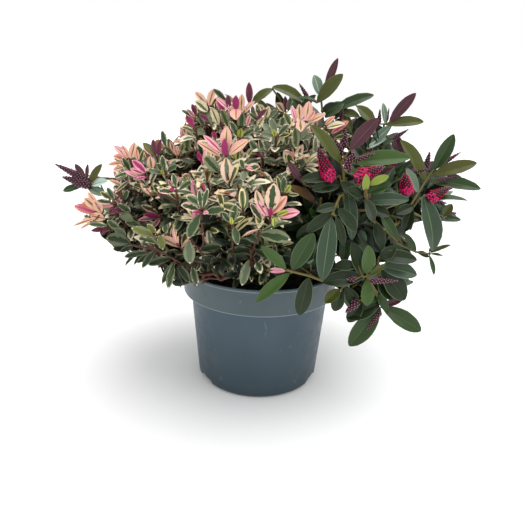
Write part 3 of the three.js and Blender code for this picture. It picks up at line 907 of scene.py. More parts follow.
STAR_INSET = 7  # how far a star's heart lies behind the crown's skin
STAR_STEM = 34  # mm
STAR_SIZE = 0.85  # of the pairs dealt out under it
LIT_ABOVE = 175  # the picture height above which the older leaves of a star are pale too, as painted light
STAR_AXIS = unit(UP * 0.8 - LOOK * 0.6)
LEAN_OUT = -5  # mm nearer to the viewer at the tip of a level leaf, double for one that hangs
STARS = {
    "great": star((226, 156), (
        (226, 153, 227, 126, 12, "peach"), (223, 154, 203, 135, 7, "pink"),
        (221, 157, 197, 142, 7, "peach"), (229, 155, 249, 140, 11, "peach"),
        (226, 157, 227, 183, 12, "tan"), (219, 173, 204, 156, 11, "butter"),
        (225, 157, 225, 138, 7, "magenta", -4),
    )),
    "front": star((270, 216), (
        (271, 212, 274, 183, 15, "blush"), (267, 217, 256, 200, 9, "pink"),
        (272, 214, 287, 196, 11, "salmon"), (278, 217, 300, 212, 11, "pink"),
        (262, 213, 256, 190, 9, "tan"), (262, 221, 250, 203, 8, "blush"),
        (276, 216, 289, 211, 6, "lime", -8), (275, 217, 274, 227, 6, "lime", -8),
        (270, 217, 271, 207, 5, "magenta", -4),
    )),
    "crown": star((301, 122), (
        (306, 121, 309, 101, 10, "peach"), (300, 121, 299, 104, 8, "peach"),
        (296, 122, 291, 106, 6, "pink"), (306, 121, 315, 111, 7, "salmon"),
        (308, 123, 326, 114, 8, "peach"), (300, 120, 301, 132, 10, "peach"),
        (295, 127, 296, 149, 9, "butter"), (291, 127, 284, 112, 7, "butter"),
        (287, 146, 286, 129, 6, "butter"), (300, 140, 306, 126, 8, "pale", 6),
        (298, 140, 313, 135, 8, "grey", 4),
    )),
    "crown_right": star((331, 134), (
        (331, 134, 349, 121, 9, "dusky"), (325, 125, 335, 116, 5, "salmon"),
        (326, 128, 345, 124, 8, "cream"), (334, 138, 352, 136, 6, "butter"),
        (322, 134, 334, 122, 8, "adult", 4), (317, 137, 331, 140, 7, "butter", 2),
        (329, 137, 318, 130, 5, "adult"),
    )),
    "under_arch": star((286, 112), (
        (286, 111, 285, 96, 5, "plum"), (288, 112, 291, 97, 6, "grey"), (284, 112, 276, 103, 8, "tan"),
        (282, 114, 268, 108, 6, "grey"), (264, 115, 257, 104, 8, "cream"),
    )),
    "small": star((236, 112), (
        (236, 111, 236, 95, 7, "magenta", -3), (241, 112, 242, 94, 7, "peach"),
        (232, 112, 215, 97, 6, "pink"), (243, 114, 255, 101, 6, "peach"),
        (236, 109, 236, 120, 12, "salmon"), (229, 109, 228, 95, 6, "plum"),
        (228, 127, 221, 109, 9, "butter"), (254, 121, 252, 105, 5, "grey"),
        (244, 122, 246, 106, 6, "butter"),
    )),
    "left_tip": star((209, 108), (
        (207, 105, 195, 92, 7, "apricot"), (209, 106, 214, 89, 8, "apricot"),
        (208, 112, 195, 101, 10, "cream", -4), (212, 125, 205, 108, 7, "pale", 3),
        (205, 128, 197, 112, 7, "butter", 3), (219, 126, 211, 107, 8, "cream", 4),
        (206, 135, 191, 128, 9, "pale", 3), (212, 106, 217, 98, 4, "butter"),
        (196, 115, 192, 104, 5, "plum"), (226, 101, 213, 89, 6, "old"),
    )),
    "left_buds": star((196, 128), (
        (194, 128, 186, 115, 6, "magenta"), (209, 122, 199, 115, 6, "plum"),
        (195, 118, 187, 109, 4, "rose"), (192, 117, 181, 110, 5, "adult"),
    )),
    "right_bud": star((255, 122), (
        (256, 121, 267, 109, 5, "plum"), (247, 126, 250, 115, 5, "pink"),
        (241, 131, 242, 112, 9, "adult", 4), (257, 128, 247, 115, 7, "pale", 3),
        (254, 132, 264, 117, 8, "cream", 3),
    )),
    "arch_left": star((263, 123), (
        (261, 120, 256, 104, 7, "blush"), (265, 120, 269, 106, 7, "cream"),
        (260, 122, 248, 113, 6, "butter"), (266, 122, 280, 113, 7, "grey"),
        (267, 125, 284, 121, 6, "adult"), (262, 125, 254, 133, 6, "adult"),
        (272, 132, 266, 115, 8, "adult"), (257, 119, 262, 106, 8, "butter"),
        (268, 118, 278, 110, 6, "grey"), (258, 128, 263, 120, 5, "plum"),
    )),
    "upright_bud": star((249, 106), (
        (249, 104, 249, 82, 7, "plum", 0), (250, 104, 250, 84, 6, "plum", 0, "away"),
    )),
    "lime": star((240, 138), (
        (240, 138, 241, 128, 7, "lime", -4), (238, 137, 230, 121, 7, "adult"),
        (242, 137, 255, 129, 7, "adult"),
    )),
    "lime_right": star((276, 137), (
        (275, 137, 273, 129, 5, "lime", -4), (273, 136, 260, 134, 8, "grey"),
        (278, 136, 289, 124, 7, "adult"), (279, 137, 290, 134, 5, "butter"),
        (276, 135, 270, 118, 8, "grey", 6), (280, 134, 284, 116, 8, "adult", 6),
        (272, 134, 262, 124, 7, "pale", 6), (284, 132, 294, 118, 7, "cream", 6),
    )),
    "beside_great": star((263, 159), (
        (261, 157, 249, 140, 9, "adult"), (264, 156, 259, 138, 6, "blush"), (264, 160, 279, 166, 9, "grey"),
        (265, 157, 278, 143, 5, "blush"), (261, 160, 245, 164, 7, "adult"),
        (262, 158, 256, 154, 4, "magenta", -3),
    )),
    "below_great": star((246, 169), (
        (247, 169, 260, 167, 9, "blush"), (244, 169, 240, 159, 6, "butter"),
        (246, 168, 253, 169, 4, "pink", -3), (245, 171, 243, 181, 8, "grey"),
    )),
    "upright_cream": star((284, 194), (
        (281, 193, 277, 176, 5, "butter"), (283, 193, 284, 176, 7, "adult"),
        (285, 193, 291, 185, 7, "lime"), (288, 195, 299, 195, 4, "butter"),
        (266, 194, 261, 178, 7, "adult"),
    )),
    "shoulder": star((131, 162), (
        (129, 158, 114, 146, 7, "pink"), (129, 158, 122, 145, 6, "apricot"),
        (131, 159, 135, 142, 7, "apricot"), (126, 160, 113, 156, 7, "salmon"),
        (123, 163, 108, 165, 5, "salmon"), (124, 167, 113, 170, 5, "apricot"),
        (138, 161, 136, 148, 5, "salmon"), (140, 163, 144, 149, 4, "butter"),
        (130, 171, 122, 157, 6, "adult", -6),
    )),
    "magenta": star((148, 177), (
        (146, 173, 132, 160, 8, "hot"), (144, 174, 130, 169, 7, "pink"), (140, 178, 124, 171, 5, "pink"),
        (147, 177, 135, 180, 4, "hot"),
    )),
    "olive_pair": star((157, 157), (
        (156, 156, 143, 143, 8, "olive"), (156, 156, 153, 139, 6, "plum"), (158, 156, 161, 139, 5, "plum"),
        (166, 147, 162, 130, 6, "adult"),
    )),
    "cream": star((181, 157), (
        (181, 156, 184, 142, 6, "butter"), (175, 154, 170, 141, 5, "peach"),
        (187, 155, 188, 136, 8, "butter"), (173, 155, 165, 147, 7, "butter"),
        (178, 157, 174, 146, 5, "salmon"), (196, 163, 181, 160, 6, "grey"),
    )),
    "shoulder_low": star((166, 173), (
        (165, 171, 162, 155, 6, "adult"), (167, 172, 178, 165, 7, "adult"),
        (163, 172, 157, 163, 7, "butter"), (152, 170, 150, 156, 8, "peach"),
        (164, 174, 147, 170, 6, "grey"), (163, 175, 162, 169, 4, "lime", -4),
    )),
    "rose": star((176, 190), (
        (175, 190, 169, 190, 4, "magenta", -3), (176, 187, 173, 173, 6, "adult"),
        (174, 192, 158, 191, 7, "blush"), (172, 187, 168, 180, 4, "rose"), (179, 190, 192, 181, 7, "adult"),
    )),
    "front_rose": star((201, 212), (
        (199, 210, 181, 205, 10, "blush"), (200, 214, 188, 239, 11, "fringed"),
        (201, 209, 199, 189, 6, "adult"), (203, 209, 208, 188, 6, "adult"), (203, 213, 209, 213, 5, "pink"),
        (201, 212, 193, 212, 5, "magenta", -4), (202, 206, 186, 196, 8, "adult"),
        (204, 213, 226, 209, 9, "adult"),
    )),
    "left_rose": star((160, 215), (
        (158, 216, 144, 215, 7, "magenta"), (158, 213, 141, 205, 6, "blush"),
        (157, 218, 138, 220, 5, "rose"), (160, 218, 153, 228, 5, "rose"), (150, 212, 137, 199, 8, "adult"),
        (140, 226, 125, 222, 8, "butter"), (146, 206, 134, 207, 7, "pale"),
        (163, 214, 174, 205, 7, "adult"),
    )),
    "far_rose": star((120, 206), (
        (114, 206, 97, 206, 5, "pink"), (118, 208, 109, 214, 7, "plum"), (112, 203, 96, 201, 6, "blush"),
        (121, 204, 111, 192, 6, "rose"), (131, 212, 117, 204, 8, "adult"), (126, 210, 112, 211, 7, "plum"),
        (134, 221, 119, 214, 9, "pale"), (124, 200, 128, 190, 7, "adult"),
    )),
    "far_salmon": star((95, 211), (
        (100, 214, 74, 206, 10, "dusky"), (99, 210, 84, 198, 9, "apricot"),
        (98, 206, 88, 192, 6, "apricot"), (102, 213, 94, 200, 9, "apricot"),
        (106, 219, 90, 216, 9, "apricot"),
    )),
    "sprig_side": star((120, 188), (
        (130, 172, 114, 178, 5, "adult"), (122, 186, 109, 180, 5, "peach"),
        (114, 200, 107, 187, 6, "adult"), (111, 199, 100, 192, 6, "butter"),
        (130, 180, 116, 192, 4, "blush"), (126, 190, 113, 186, 5, "adult"),
    )),
    "far_tips": star((108, 224), (
        (97, 218, 73, 226, 4, "apricot"), (93, 222, 80, 229, 3, "salmon"), (107, 226, 88, 224, 6, "adult"),
        (106, 229, 91, 231, 5, "plum"), (108, 229, 101, 236, 4, "plum"), (120, 231, 107, 220, 8, "adult"),
        (126, 236, 114, 228, 8, "grey"),
    )),
    "low_olive": star((157, 235), (
        (154, 236, 131, 228, 10, "moss"), (160, 235, 163, 250, 9, "moss"), (156, 233, 147, 224, 6, "moss"),
        (165, 233, 166, 222, 7, "butter"),
    )),
    "middle_cream": star((232, 224), (
        (232, 221, 236, 204, 9, "adult"), (233, 223, 245, 217, 6, "butter"),
        (230, 222, 222, 212, 7, "adult"), (234, 226, 238, 245, 8, "fringed"),
        (232, 225, 231, 217, 4, "lime", -4), (240, 240, 226, 230, 9, "old", 8),
        (258, 244, 246, 232, 9, "old", 8), (228, 234, 216, 224, 9, "old", 8),
    )),
}

# A stem with the leaves on it. The stem is a run of (u, v, depth) places.
Spray = namedtuple("Spray", "form stem leaves")


def spray(form, stem, rows):
    return Spray(form, stem, [between(Mark, row) for row in rows])


SPRAYS = {
    "front_left_stem": spray("variegated", ((219, 279, -94), (205, 258, -112), (190, 238, -128)), (
        (189, 240, 190, 264, 12, "grey", -4), (200, 250, 222, 246, 9, "old", -4),
    )),
    "front_middle_stem": spray("variegated", ((249, 270, -104), (251, 256, -118), (259, 231, -130)), (
        (249, 259, 242, 286, 10, "grey", -6, "viewer", 0.1),
        (259, 234, 291, 240, 14, "adult", -8, "viewer", 0.3),
        (261, 229, 242, 237, 4, "tan", -6, "sky", 0.3), (262, 231, 292, 222, 9, "adult", -8, "sky", 0.2),
        (254, 244, 228, 240, 10, "old", -4), (252, 250, 226, 252, 9, "old", -4),
        (254, 250, 272, 258, 8, "old", -4),
    )),
    "left_low_stem": spray("variegated", ((198, 274, -86), (176, 260, -104), (150, 246, -110)), (
        (192, 266, 197, 286, 8, "adult", -4), (174, 262, 168, 289, 8, "adult", -4),
        (176, 260, 162, 284, 7, "old", -3), (178, 264, 190, 283, 8, "old", -4),
        (172, 258, 148, 265, 9, "old", -4, "viewer", 0.3),
        (156, 250, 142, 268, 7, "old", -4, "viewer", 0.3),
    )),
    "far_low_stem": spray("variegated", ((156, 250, -80), (132, 245, -72), (112, 240, -70)), (
        (130, 243, 106, 238, 14, "old", -4, "viewer", 0.3), (128, 248, 113, 249, 8, "old", -4),
        (140, 250, 125, 266, 5, "old", -4, "sky"), (146, 250, 134, 265, 5, "old", -2, "sky"),
        (148, 252, 124, 257, 7, "old", -4), (152, 254, 137, 263, 7, "old", -2),
        (134, 246, 120, 252, 6, "old", -4),
    )),
    "crown_arch": spray("green", ((283, 122, 36), (281, 101, 32), (272, 88, 28)), (
        (273, 89, 252, 105, 10, "olive", -6, "viewer", 0.9),
        (272, 87, 304, 102, 12, "olive", -8, "viewer", 0.9), (271, 120, 257, 99, 9, "olive", -2),
        (301, 113, 290, 93, 10, "mid", 2), (284, 122, 277, 92, 10, "dark", -4),
        (297, 114, 316, 95, 9, "mid", -4, "viewer", 0.4), (276, 118, 258, 107, 8, "olive", -2),
        (280, 120, 266, 103, 7, "bronze", 2),
    )),
    "crown_top": spray("green", ((324, 128, 16), (321, 98, 10)), (
        (325, 90, 338, 58, 8, "maroon", -2), (317, 103, 343, 74, 14, "olive", -6),
        (320, 96, 314, 75, 11, "silver", 4, "viewer", 0.3), (318, 102, 296, 99, 8, "mid", -6, "sky", 0.5),
        (321, 112, 338, 104, 9, "dark", -6),
    )),
    "crown_right": spray("green", ((344, 140, 26), (328, 112, 22)), (
        (334, 110, 374, 95, 12, "mid", 0, "viewer", 0.35), (344, 102, 325, 118, 13, "mid", -4),
        (338, 108, 352, 130, 9, "olive", -6), (337, 112, 360, 117, 10, "olive", -4, "viewer", 0.3),
        (336, 122, 352, 128, 10, "dark", -6), (330, 120, 348, 106, 10, "mid", -4),
        (352, 128, 370, 118, 11, "dark", 0), (357, 106, 369, 121, 11, "olive", -2),
        (362, 142, 346, 127, 9, "dark", 2), (352, 153, 344, 131, 12, "dark", 4),
        (366, 153, 360, 130, 12, "dark", 4), (352, 140, 355, 123, 9, "silver", 4),
    )),
    "upper_right": spray("green", ((382, 152, 2), (384, 124, -4)), (
        (389, 123, 416, 93, 11, "maroon", -4), (385, 125, 424, 122, 12, "olive", -6, "viewer", 0.4),
        (370, 146, 392, 125, 9, "silver", -8), (366, 149, 387, 138, 6, "mint", -8),
        (376, 154, 367, 136, 11, "dark", 2), (376, 124, 356, 106, 11, "olive", -2, "viewer", 0.4),
        (385, 124, 383, 103, 6, "silver", 0), (384, 145, 376, 124, 10, "dark", -2),
        (386, 148, 373, 134, 10, "dark", -2), (380, 146, 400, 133, 8, "pale", -6),
        (398, 152, 395, 136, 12, "maroon", 4),
    )),
    "front_crown": spray("green", ((346, 208, -98), (343, 168, -98)), (
        (341, 164, 310, 125, 13, "olive", -6, "viewer", 0.5), (350, 150, 379, 118, 15, "maroon", -4),
        (350, 163, 411, 158, 17, "fresh", -10, "viewer", 0.3),
        (341, 181, 360, 201, 13, "dark", -10, "viewer", 0.3),
        (347, 186, 352, 240, 14, "blue", -12, "viewer", 0.5), (341, 184, 312, 190, 14, "dark", -8),
        (340, 176, 300, 180, 12, "dark", -6), (303, 184, 287, 162, 7, "maroon", 0),
        (364, 162, 351, 145, 10, "dark", 12),
    )),
    "lime_tip": spray("green", ((368, 210, -108), (366, 190, -118)), (
        (365, 192, 366, 174, 8, "lime", -4), (369, 185, 389, 176, 9, "lime", -4),
        (367, 193, 392, 184, 11, "mid", -6), (364, 196, 346, 190, 12, "dark", -6),
        (368, 202, 365, 183, 8, "bronze", -6), (374, 222, 365, 200, 12, "dark", -12),
    )),
    "right_middle": spray("green", ((376, 226, -92), (364, 200, -100)), (
        (364, 201, 409, 200, 14, "blue", -6, "viewer", 0.3),
        (380, 212, 396, 239, 11, "mid", -10, "viewer", 0.3), (368, 208, 390, 216, 12, "dark", -4),
        (372, 214, 352, 222, 12, "dark", -4), (375, 222, 382, 248, 12, "dark", -4),
    )),
    "front_blade": spray("green", ((340, 196, -112), (332, 214, -122)), (
        (331, 216, 322, 281, 19, "blue", -16, "viewer", 0.3),
        (336, 216, 344, 246, 9, "dark", -6, "viewer", 0.3), (338, 206, 316, 211, 10, "dark", -6),
        (334, 212, 306, 232, 12, "dark", -4), (338, 208, 356, 232, 14, "dark", -2),
        (322, 222, 296, 238, 12, "dark", 8),
    )),
    "right_tip": spray("green", ((404, 216, -42), (418, 193, -28), (428, 177, -16), (433, 170, -14)), (
        (425, 180, 400, 140, 15, "olive", -6, "viewer", 0.4), (434, 170, 454, 134, 14, "mid", -4),
        (432, 175, 477, 163, 14, "bronzed", -8, "viewer", 0.2),
        (429, 181, 481, 189, 13, "mid", -8, "viewer", 0.4), (418, 193, 406, 168, 10, "pale", 0),
    )),
    "right_drooping": spray("green", ((408, 214, -50), (419, 199, -56)), (
        (423, 197, 433, 251, 20, "blue", -12, "viewer", 0.9),
        (430, 200, 468, 201, 10, "mid", -6, "sky", 0.4), (414, 206, 396, 214, 10, "dark", -6),
        (412, 208, 404, 232, 12, "dark", -4), (394, 216, 420, 219, 9, "dark", -2, "viewer", 0.1),
        (390, 216, 404, 236, 13, "dark", 4), (402, 212, 411, 230, 9, "dark", 4),
    )),
    "right_small": spray("green", ((414, 213, -44), (430, 221, -26), (443, 217, -12)), (
        (443, 216, 452, 204, 9, "olive", 0), (442, 219, 461, 220, 7, "rimmed", 0),
        (443, 216, 457, 213, 4, "maroon", 0),
    )),
    "far_low": spray("green", ((398, 244, -18), (416, 252, -12), (430, 254, -10)), (
        (430, 253, 451, 245, 6, "olive", 0, "sky"), (430, 254, 443, 256, 4, "mid", 0, "sky"),
        (429, 257, 417, 252, 6, "dark", -2), (429, 252, 434, 244, 4, "mid", -2),
        (429, 255, 434, 275, 5, "mid", 0, "viewer", 0.4), (416, 252, 403, 233, 8, "mid", -2),
        (410, 250, 396, 258, 9, "dark", -2),
    )),
    "front_shoot": spray("green", ((330, 284, -112), (310, 276, -126), (286, 270, -132)), (
        (286, 269, 261, 246, 11, "fresh", -4), (290, 273, 256, 302, 13, "fresh", -4, "viewer", 0.15),
        (309, 277, 299, 315, 17, "dark", -2, "viewer", 0.3),
        (292, 270, 314, 233, 18, "mid", 2, "viewer", 0.15), (286, 271, 270, 269, 4, "blushed", -2),
        (284, 272, 270, 272, 3, "blushed", -3),
    )),
    "low_shoot": spray("green", ((376, 292, -100), (367, 276, -116)), (
        (367, 274, 368, 245, 14, "fresh", -6, "viewer", 0.1),
        (367, 279, 367, 306, 13, "fresh", -6, "viewer", 0.3), (370, 275, 386, 264, 6, "olive", -4),
        (364, 277, 322, 282, 16, "dark", -2, "viewer", 0.3), (362, 276, 352, 242, 15, "dark", 6),
        (358, 266, 334, 266, 12, "dark", 2),
    )),
    "right_block": spray("green", ((380, 288, -92), (378, 262, -100)), (
        (379, 256, 417, 260, 15, "dark", -4, "viewer", 0.3), (380, 266, 417, 275, 17, "blue", -4),
        (381, 270, 405, 300, 22, "dark", -6), (379, 276, 392, 300, 18, "dark", -8),
        (379, 262, 396, 246, 12, "dark", 0),
    )),
    "lowest": spray("green", ((372, 288, -100), (384, 307, -98)), (
        (382, 307, 421, 331, 18, "mid", -4, "viewer", 0.2),
        (380, 308, 349, 346, 20, "mid", -4, "viewer", 0.2), (362, 302, 348, 322, 14, "dark", -3),
        (378, 294, 387, 311, 10, "mid", -2), (380, 303, 346, 318, 18, "dark", -4),
        (384, 306, 404, 297, 8, "maroon", -2), (378, 299, 360, 296, 12, "mid", -4),
    )),
    "left_low": spray("green", ((348, 282, -104), (340, 290, -108)), (
        (340, 289, 325, 303, 12, "olive", -4), (342, 291, 334, 311, 13, "dark", -2),
        (345, 287, 356, 308, 14, "dark", -2),
    )),
    "far_left_sprig": spray("green", ((104, 196, 40), (89, 186, 44)), (
        (85, 177, 75, 164, 6, "maroon", 0), (87, 179, 88, 164, 4, "maroon", 0),
        (89, 185, 102, 164, 8, "bronzed", 0), (82, 186, 63, 191, 8, "rimmed", 0, "viewer", 0.1),
        (91, 185, 108, 181, 9, "mint", -3), (88, 187, 105, 196, 10, "pale", -6),
    )),
}

# A flower spike by its foot and tip, its depth, its radius in pixels and the share of it that is in flower.
Spike = namedtuple("Spike", "foot tip depth radius opened", defaults=(0,))
SPIKES = [between(Spike, row) for row in (
    (331, 182, 317, 146, -102, 7.2, 0.3), (354, 180, 385, 166, -114, 7.5, 0.4),
    (407, 195, 405, 172, -84, 7.2, 0.3), (427, 200, 451, 187, -58, 6.2, 0.25), (308, 98, 299, 83, 12, 2.5),
    (379, 124, 380, 109, -4, 2.5), (387, 121, 389, 108, -4, 1.6), (393, 139, 409, 129, -12, 2.6),
    (346, 169, 354, 151, -106, 4), (350, 172, 343, 156, -104, 3), (342, 154, 334, 138, -80, 3.6),
    (344, 148, 346, 129, -78, 3.4), (356, 160, 376, 153, -108, 2.4), (425, 171, 430, 151, -12, 3.8),
    (442, 164, 461, 152, -14, 2.6), (437, 180, 459, 176, -24, 2), (370, 281, 398, 281, -122, 3.1),
    (356, 279, 347, 279, -122, 3.2), (358, 301, 345, 313, -112, 4.6), (380, 313, 367, 330, -104, 2.6),
    (89, 181, 54, 163.5, 44, 4.5), (91, 186, 61, 176.5, 42, 5.4),
)]

# Round places where the picture shows the background or the pot through the crown: (u, v, radius).
OPEN = (
    (237, 92, 5), (269, 97, 4), (295, 83, 3), (316, 107, 3), (392, 106, 7), (414, 132, 8), (424, 146, 7),
    (441, 128, 6), (472, 176, 3), (488, 178, 9), (470, 194, 5), (461, 193, 3), (470, 207, 8), (418, 238, 7),
    (413, 232, 5), (421, 247, 4), (423, 262, 5), (415, 266, 4), (447, 234, 10),
)
# The crown's upper and lower edges in the picture, as (u, v) places. Scattered leaves stay between them.
UPPER_EDGE = (
    (60, 201), (95, 192), (112, 178), (113, 158), (119, 146), (150, 144), (160, 138), (176, 138),
    (183, 118), (191, 108), (196, 94), (226, 94), (241, 97), (262, 107), (274, 103), (280, 93), (300, 98),
    (318, 105), (330, 112), (342, 102), (366, 104), (380, 112), (400, 123), (420, 140), (434, 160),
    (452, 152), (474, 168), (484, 190),
)
LOWER_EDGE = (
    (60, 203), (76, 212), (90, 229), (108, 241), (124, 250), (146, 262), (160, 272), (176, 287), (190, 295),
    (200, 291), (330, 291), (346, 308), (376, 318), (392, 306), (404, 297), (412, 288), (418, 262),
    (436, 246), (452, 226), (470, 212), (485, 196),
)


# ======== The frame's masses and limbs ========
Mass = namedtuple("Mass", "name form points triangles tree centre")


def node_arrays(name):
    """A CAD node's points, in mm, and its triangles."""
    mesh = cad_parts[name].data
    mesh.calc_loop_triangles()
    points = np.empty(len(mesh.vertices) * 3)
    mesh.vertices.foreach_get("co", points)
    triangles = np.empty(len(mesh.loop_triangles) * 3, int)
    mesh.loop_triangles.foreach_get("vertices", triangles)
    return points.reshape(-1, 3) / MM, triangles.reshape(-1, 3)


def read_masses():
    masses = {}
    for name in sorted(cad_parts):
        if name.startswith("foliage_"):
            _, form, place = name.split("_", 2)
            points, triangles = node_arrays(name)
            tree = BVHTree.FromPolygons(points.tolist(), triangles.tolist())
            masses[form, place] = Mass(name, form, points, triangles, tree, points.mean(0))
    return masses


RAY = Vector((0.3, 0.5, 0.81)).normalized()  # along no face of any mass


def inside(mass, point):
    """Whether a point lies in a mass: a ray from it then crosses the skin an odd number of times."""
    start, crossings = Vector(point), 0
    while True:
        spot = mass.tree.ray_cast(start, RAY)[0]
        if spot is None:
            return crossings % 2 == 1
        crossings += 1
        start = spot + RAY * 0.01


def skin_gap(mass, point):
    """How far a point is from a mass's skin, less than nothing inside it."""
    gap = mass.tree.find_nearest(Vector(point))[3]
    return -gap if inside(mass, point) else gap


MASSES = read_masses()
CROWN_CENTRE = np.mean([mass.centre for mass in MASSES.values()], axis=0)
STEM_MASS = {"main": "crown_top", "front": "front", "back": "back"}
SPRIG = "far_left_sprig"


def limb_names(form):
    return [name for name in sorted(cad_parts) if name.startswith((f"stem_{form}_", f"bough_{form}_"))]


LIMB_END = 2  # how much of a limb counts as its end, mm


def limb_ends(form):
    """Where each stem or bough meets its mass: the mean of its points nearest the skin."""
    ends = {}
    for name in limb_names(form):
        kind, _, place = name.split("_", 2)
        mass = MASSES[form, STEM_MASS[place] if kind == "stem" else place]
        points, _ = node_arrays(name)
        gaps = np.array([mass.tree.find_nearest(Vector(p))[3] for p in points])
        ends[mass.name] = points[gaps < gaps.min() + LIMB_END].mean(0)
    return ends


def owner(form, point):
    """The mass of a form that a point lies in, or nearest to."""
    of_form = [mass for mass in MASSES.values() if mass.form == form]
    return min(of_form, key=lambda mass: skin_gap(mass, point))


DEPTHS_TRIED = np.arange(-150, 60, 4)


def crown_depth(u, v):
    """How deep the crown's skin lies along a sight line, or where it comes nearest to that line."""
    sight = unit(at_pixel(u, v, 0) - CAMERA_AT)
    hits = [mass.tree.ray_cast(Vector(CAMERA_AT), Vector(sight))[0] for mass in MASSES.values()]
    depths = [hit[1] for hit in hits if hit is not None]
    if depths:
        return min(depths)
    gaps = [min(skin_gap(mass, at_pixel(u, v, depth)) for mass in MASSES.values()) for depth in DEPTHS_TRIED]
    return float(DEPTHS_TRIED[int(np.argmin(gaps))])


# ======== Twigs ========
TWIG_STEP = 8  # mm from one point of a twig to the next
TURN_COST = 2  # how much longer a twig that must turn back seems, when its origin is chosen
EASY_TURN = 0.7  # the cosine of the turn up to which it costs nothing
RISE = 0.3  # how much a twig leaves upwards, as a share of its span
CURVED_TIE = 12  # mm: a longer tie grows as a twig, a shorter one runs straight
TOUCHING = 1  # mm
LEAF_LOAD = 0.25  # that of a whole shoot is 1
LEAST_LOAD = 0.4
GIRTH_POWER = 0.3  # a twig's radius grows with this power of its load
FLARE = 1.25  # the most that a twig may widen where it starts


class Twigs:
    """A tree of points that each shoot is tied to. A twig is as thick as the shoots it carries call for."""

    def __init__(self, colour):
        self.colour = colour
        self.points = []
        self.parents = []
        self.loads = []
        self.bears = []  # whether shoots may grow on from a point
        self.chains = []

    def add_point(self, point, parent, bears=True):
        self.points.append(np.asarray(point, float))
        self.parents.append(parent)
        self.loads.append(0)
        self.bears.append(bears)
        return len(self.points) - 1

    def nearest(self, point):
        return int(np.argmin(np.linalg.norm(np.asarray(self.points) - point, axis=1)))

    def origin(self, point, heading):
        """The twig point that a shoot can be tied to with a short twig and no sharp bend."""
        gaps = np.asarray(self.points) - point
        far = np.linalg.norm(gaps, axis=1)
        ahead = (gaps @ heading) / np.maximum(far, 1e-6)
        cost = far * (1 + TURN_COST * np.clip(ahead + EASY_TURN, 0, 2))
        return int(np.argmin(np.where(self.bears, cost, np.inf)))

    def grow(self, start, end, heading, bears=True):
        """A curved twig from a point of the tree to end, arriving along heading."""
        first = self.points[start]
        span = np.linalg.norm(end - first)
        leave = unit(end - first + UP * span * RISE)
        handle = span / 3
        steps = max(2, round(span / TWIG_STEP))
        chain = [start]
        for step in range(1, steps + 1):
            t = step / steps
            a, b, c, d = (1 - t) ** 3, 3 * t * (1 - t) ** 2, 3 * t * t * (1 - t), t**3
            point = a * first + b * (first + leave * handle) + c * (end - heading * handle) + d * end
            chain.append(self.add_point(point, chain[-1], bears))
        self.chains.append(chain)
        return chain[-1]

    def extend(self, start, end, steps, bears=True):
        """A straight run on from a point of the tree."""
        chain = [start]
        for step in range(1, steps + 1):
            point = self.points[start] + (end - self.points[start]) * step / steps
            chain.append(self.add_point(point, chain[-1], bears))
        self.chains.append(chain)
        return chain[-1]

    def tie(self, point, heading):
        """Joins a pictured leaf or flower spike to the twig beside it."""
        start = self.nearest(point)
        far = np.linalg.norm(self.points[start] - point)
        if far > CURVED_TIE:
            start = self.grow(start, point, heading, bears=False)
        elif far > TOUCHING:
            start = self.extend(start, point, 2, bears=False)
        self.loads[start] += LEAF_LOAD

    def carry(self, index):
        self.loads[index] += 1

    def build(self, bundle, tip_radius, most_radius):
        loads = list(self.loads)
        for index in range(len(loads) - 1, -1, -1):
            if self.parents[index] is not None:
                loads[self.parents[index]] += loads[index]
        for chain in self.chains:
            radii = [min(most_radius, tip_radius * max(LEAST_LOAD, loads[i]) ** GIRTH_POWER) for i in chain]
            radii[0] = min(radii[0], radii[1] * FLARE)
            bundle.add(*tube([self.points[i] for i in chain], radii, sides=6), self.colour)


# ======== Flower spikes ========
def ball(detail):
    """A unit icosphere's points and triangles."""
    made = bmesh.new()
    bmesh.ops.create_icosphere(made, subdivisions=detail, radius=1)
    points = np.array([v.co for v in made.verts])
    faces = np.array([[v.index for v in f.verts] for f in made.faces])
    made.free()
    return points, faces


GOLDEN = math.pi * (3 - math.sqrt(5))
BEAD_SIDES = 6
# A spike is a tapering cone of buds. The lowest share of it, `opened`, is in flower.
Raceme = namedtuple("Raceme", "foot tip radius opened")
CORE = 0.84  # a spike's core, as a share of its radius
THINNEST_CORE = 0.3
CORE_STATIONS = np.linspace(0, 1, 7)
CORE_ENDS = 0.97  # the share of the spike that its core reaches up
OPEN_GAP = 2.5  # from one bud to the next on a spike that is in flower, mm
BUD_GAP = (2.1, 0.22)  # on any other: the least, and more for each mm of radius
FLOWER_GAP = 2.9
PACKING = 0.85  # the share of a full gap that the spiral moves on by
LEAST_RADIUS = 0.5  # mm, under which buds get no further apart along the spike
FIRST_BUD, LAST_BUD = 0.01, 0.98  # shares of the spike's length
BRIGHT_BELOW = 0.6  # on a spike in flower every bud below this is bright, and ever fewer above it
BUD_WIDTH = 0.21  # half a bud's width, as a share of the gap
BRIGHT_WIDTH = 0.25
BUD_LENGTH = 1.5  # as a share of its width
BUD_SUNK = 0.8  # how far its middle lies inside the spike's radius, as a share of half its width
BUD_RISE = 0.4  # how much a bud points along the spike, against 1 outwards
FLOWER_RISE = 0.25
FLOWER_REACH = (0.85, 1.22)  # the least and the most, as a share of the spike's radius
TUBE_HALF_WIDTH = 0.6  # mm
TUBE_MIDDLE, TUBE_HALF_LENGTH, MOUTH = 0.75, 0.28, 0.9  # shares of a flower's reach
PETAL = 1.9  # mm long
PETAL_STRAY = (0.8, 1.2)
PETAL_WIDEST = (0.5, 0.3)  # out from the mouth and along the flower, as shares of the petal's length
PETAL_HALF_WIDTH = 0.36


def add_bead(bundle, centre, aim, half_width, half_length, shade):
    """A six-sided bead, pointed at both ends along aim."""
    ring = circle(centre, half_width, aside_of(aim), aim, BEAD_SIDES)
    bundle.add(*ringed([ring], centre - aim * half_length, centre + aim * half_length), shade)


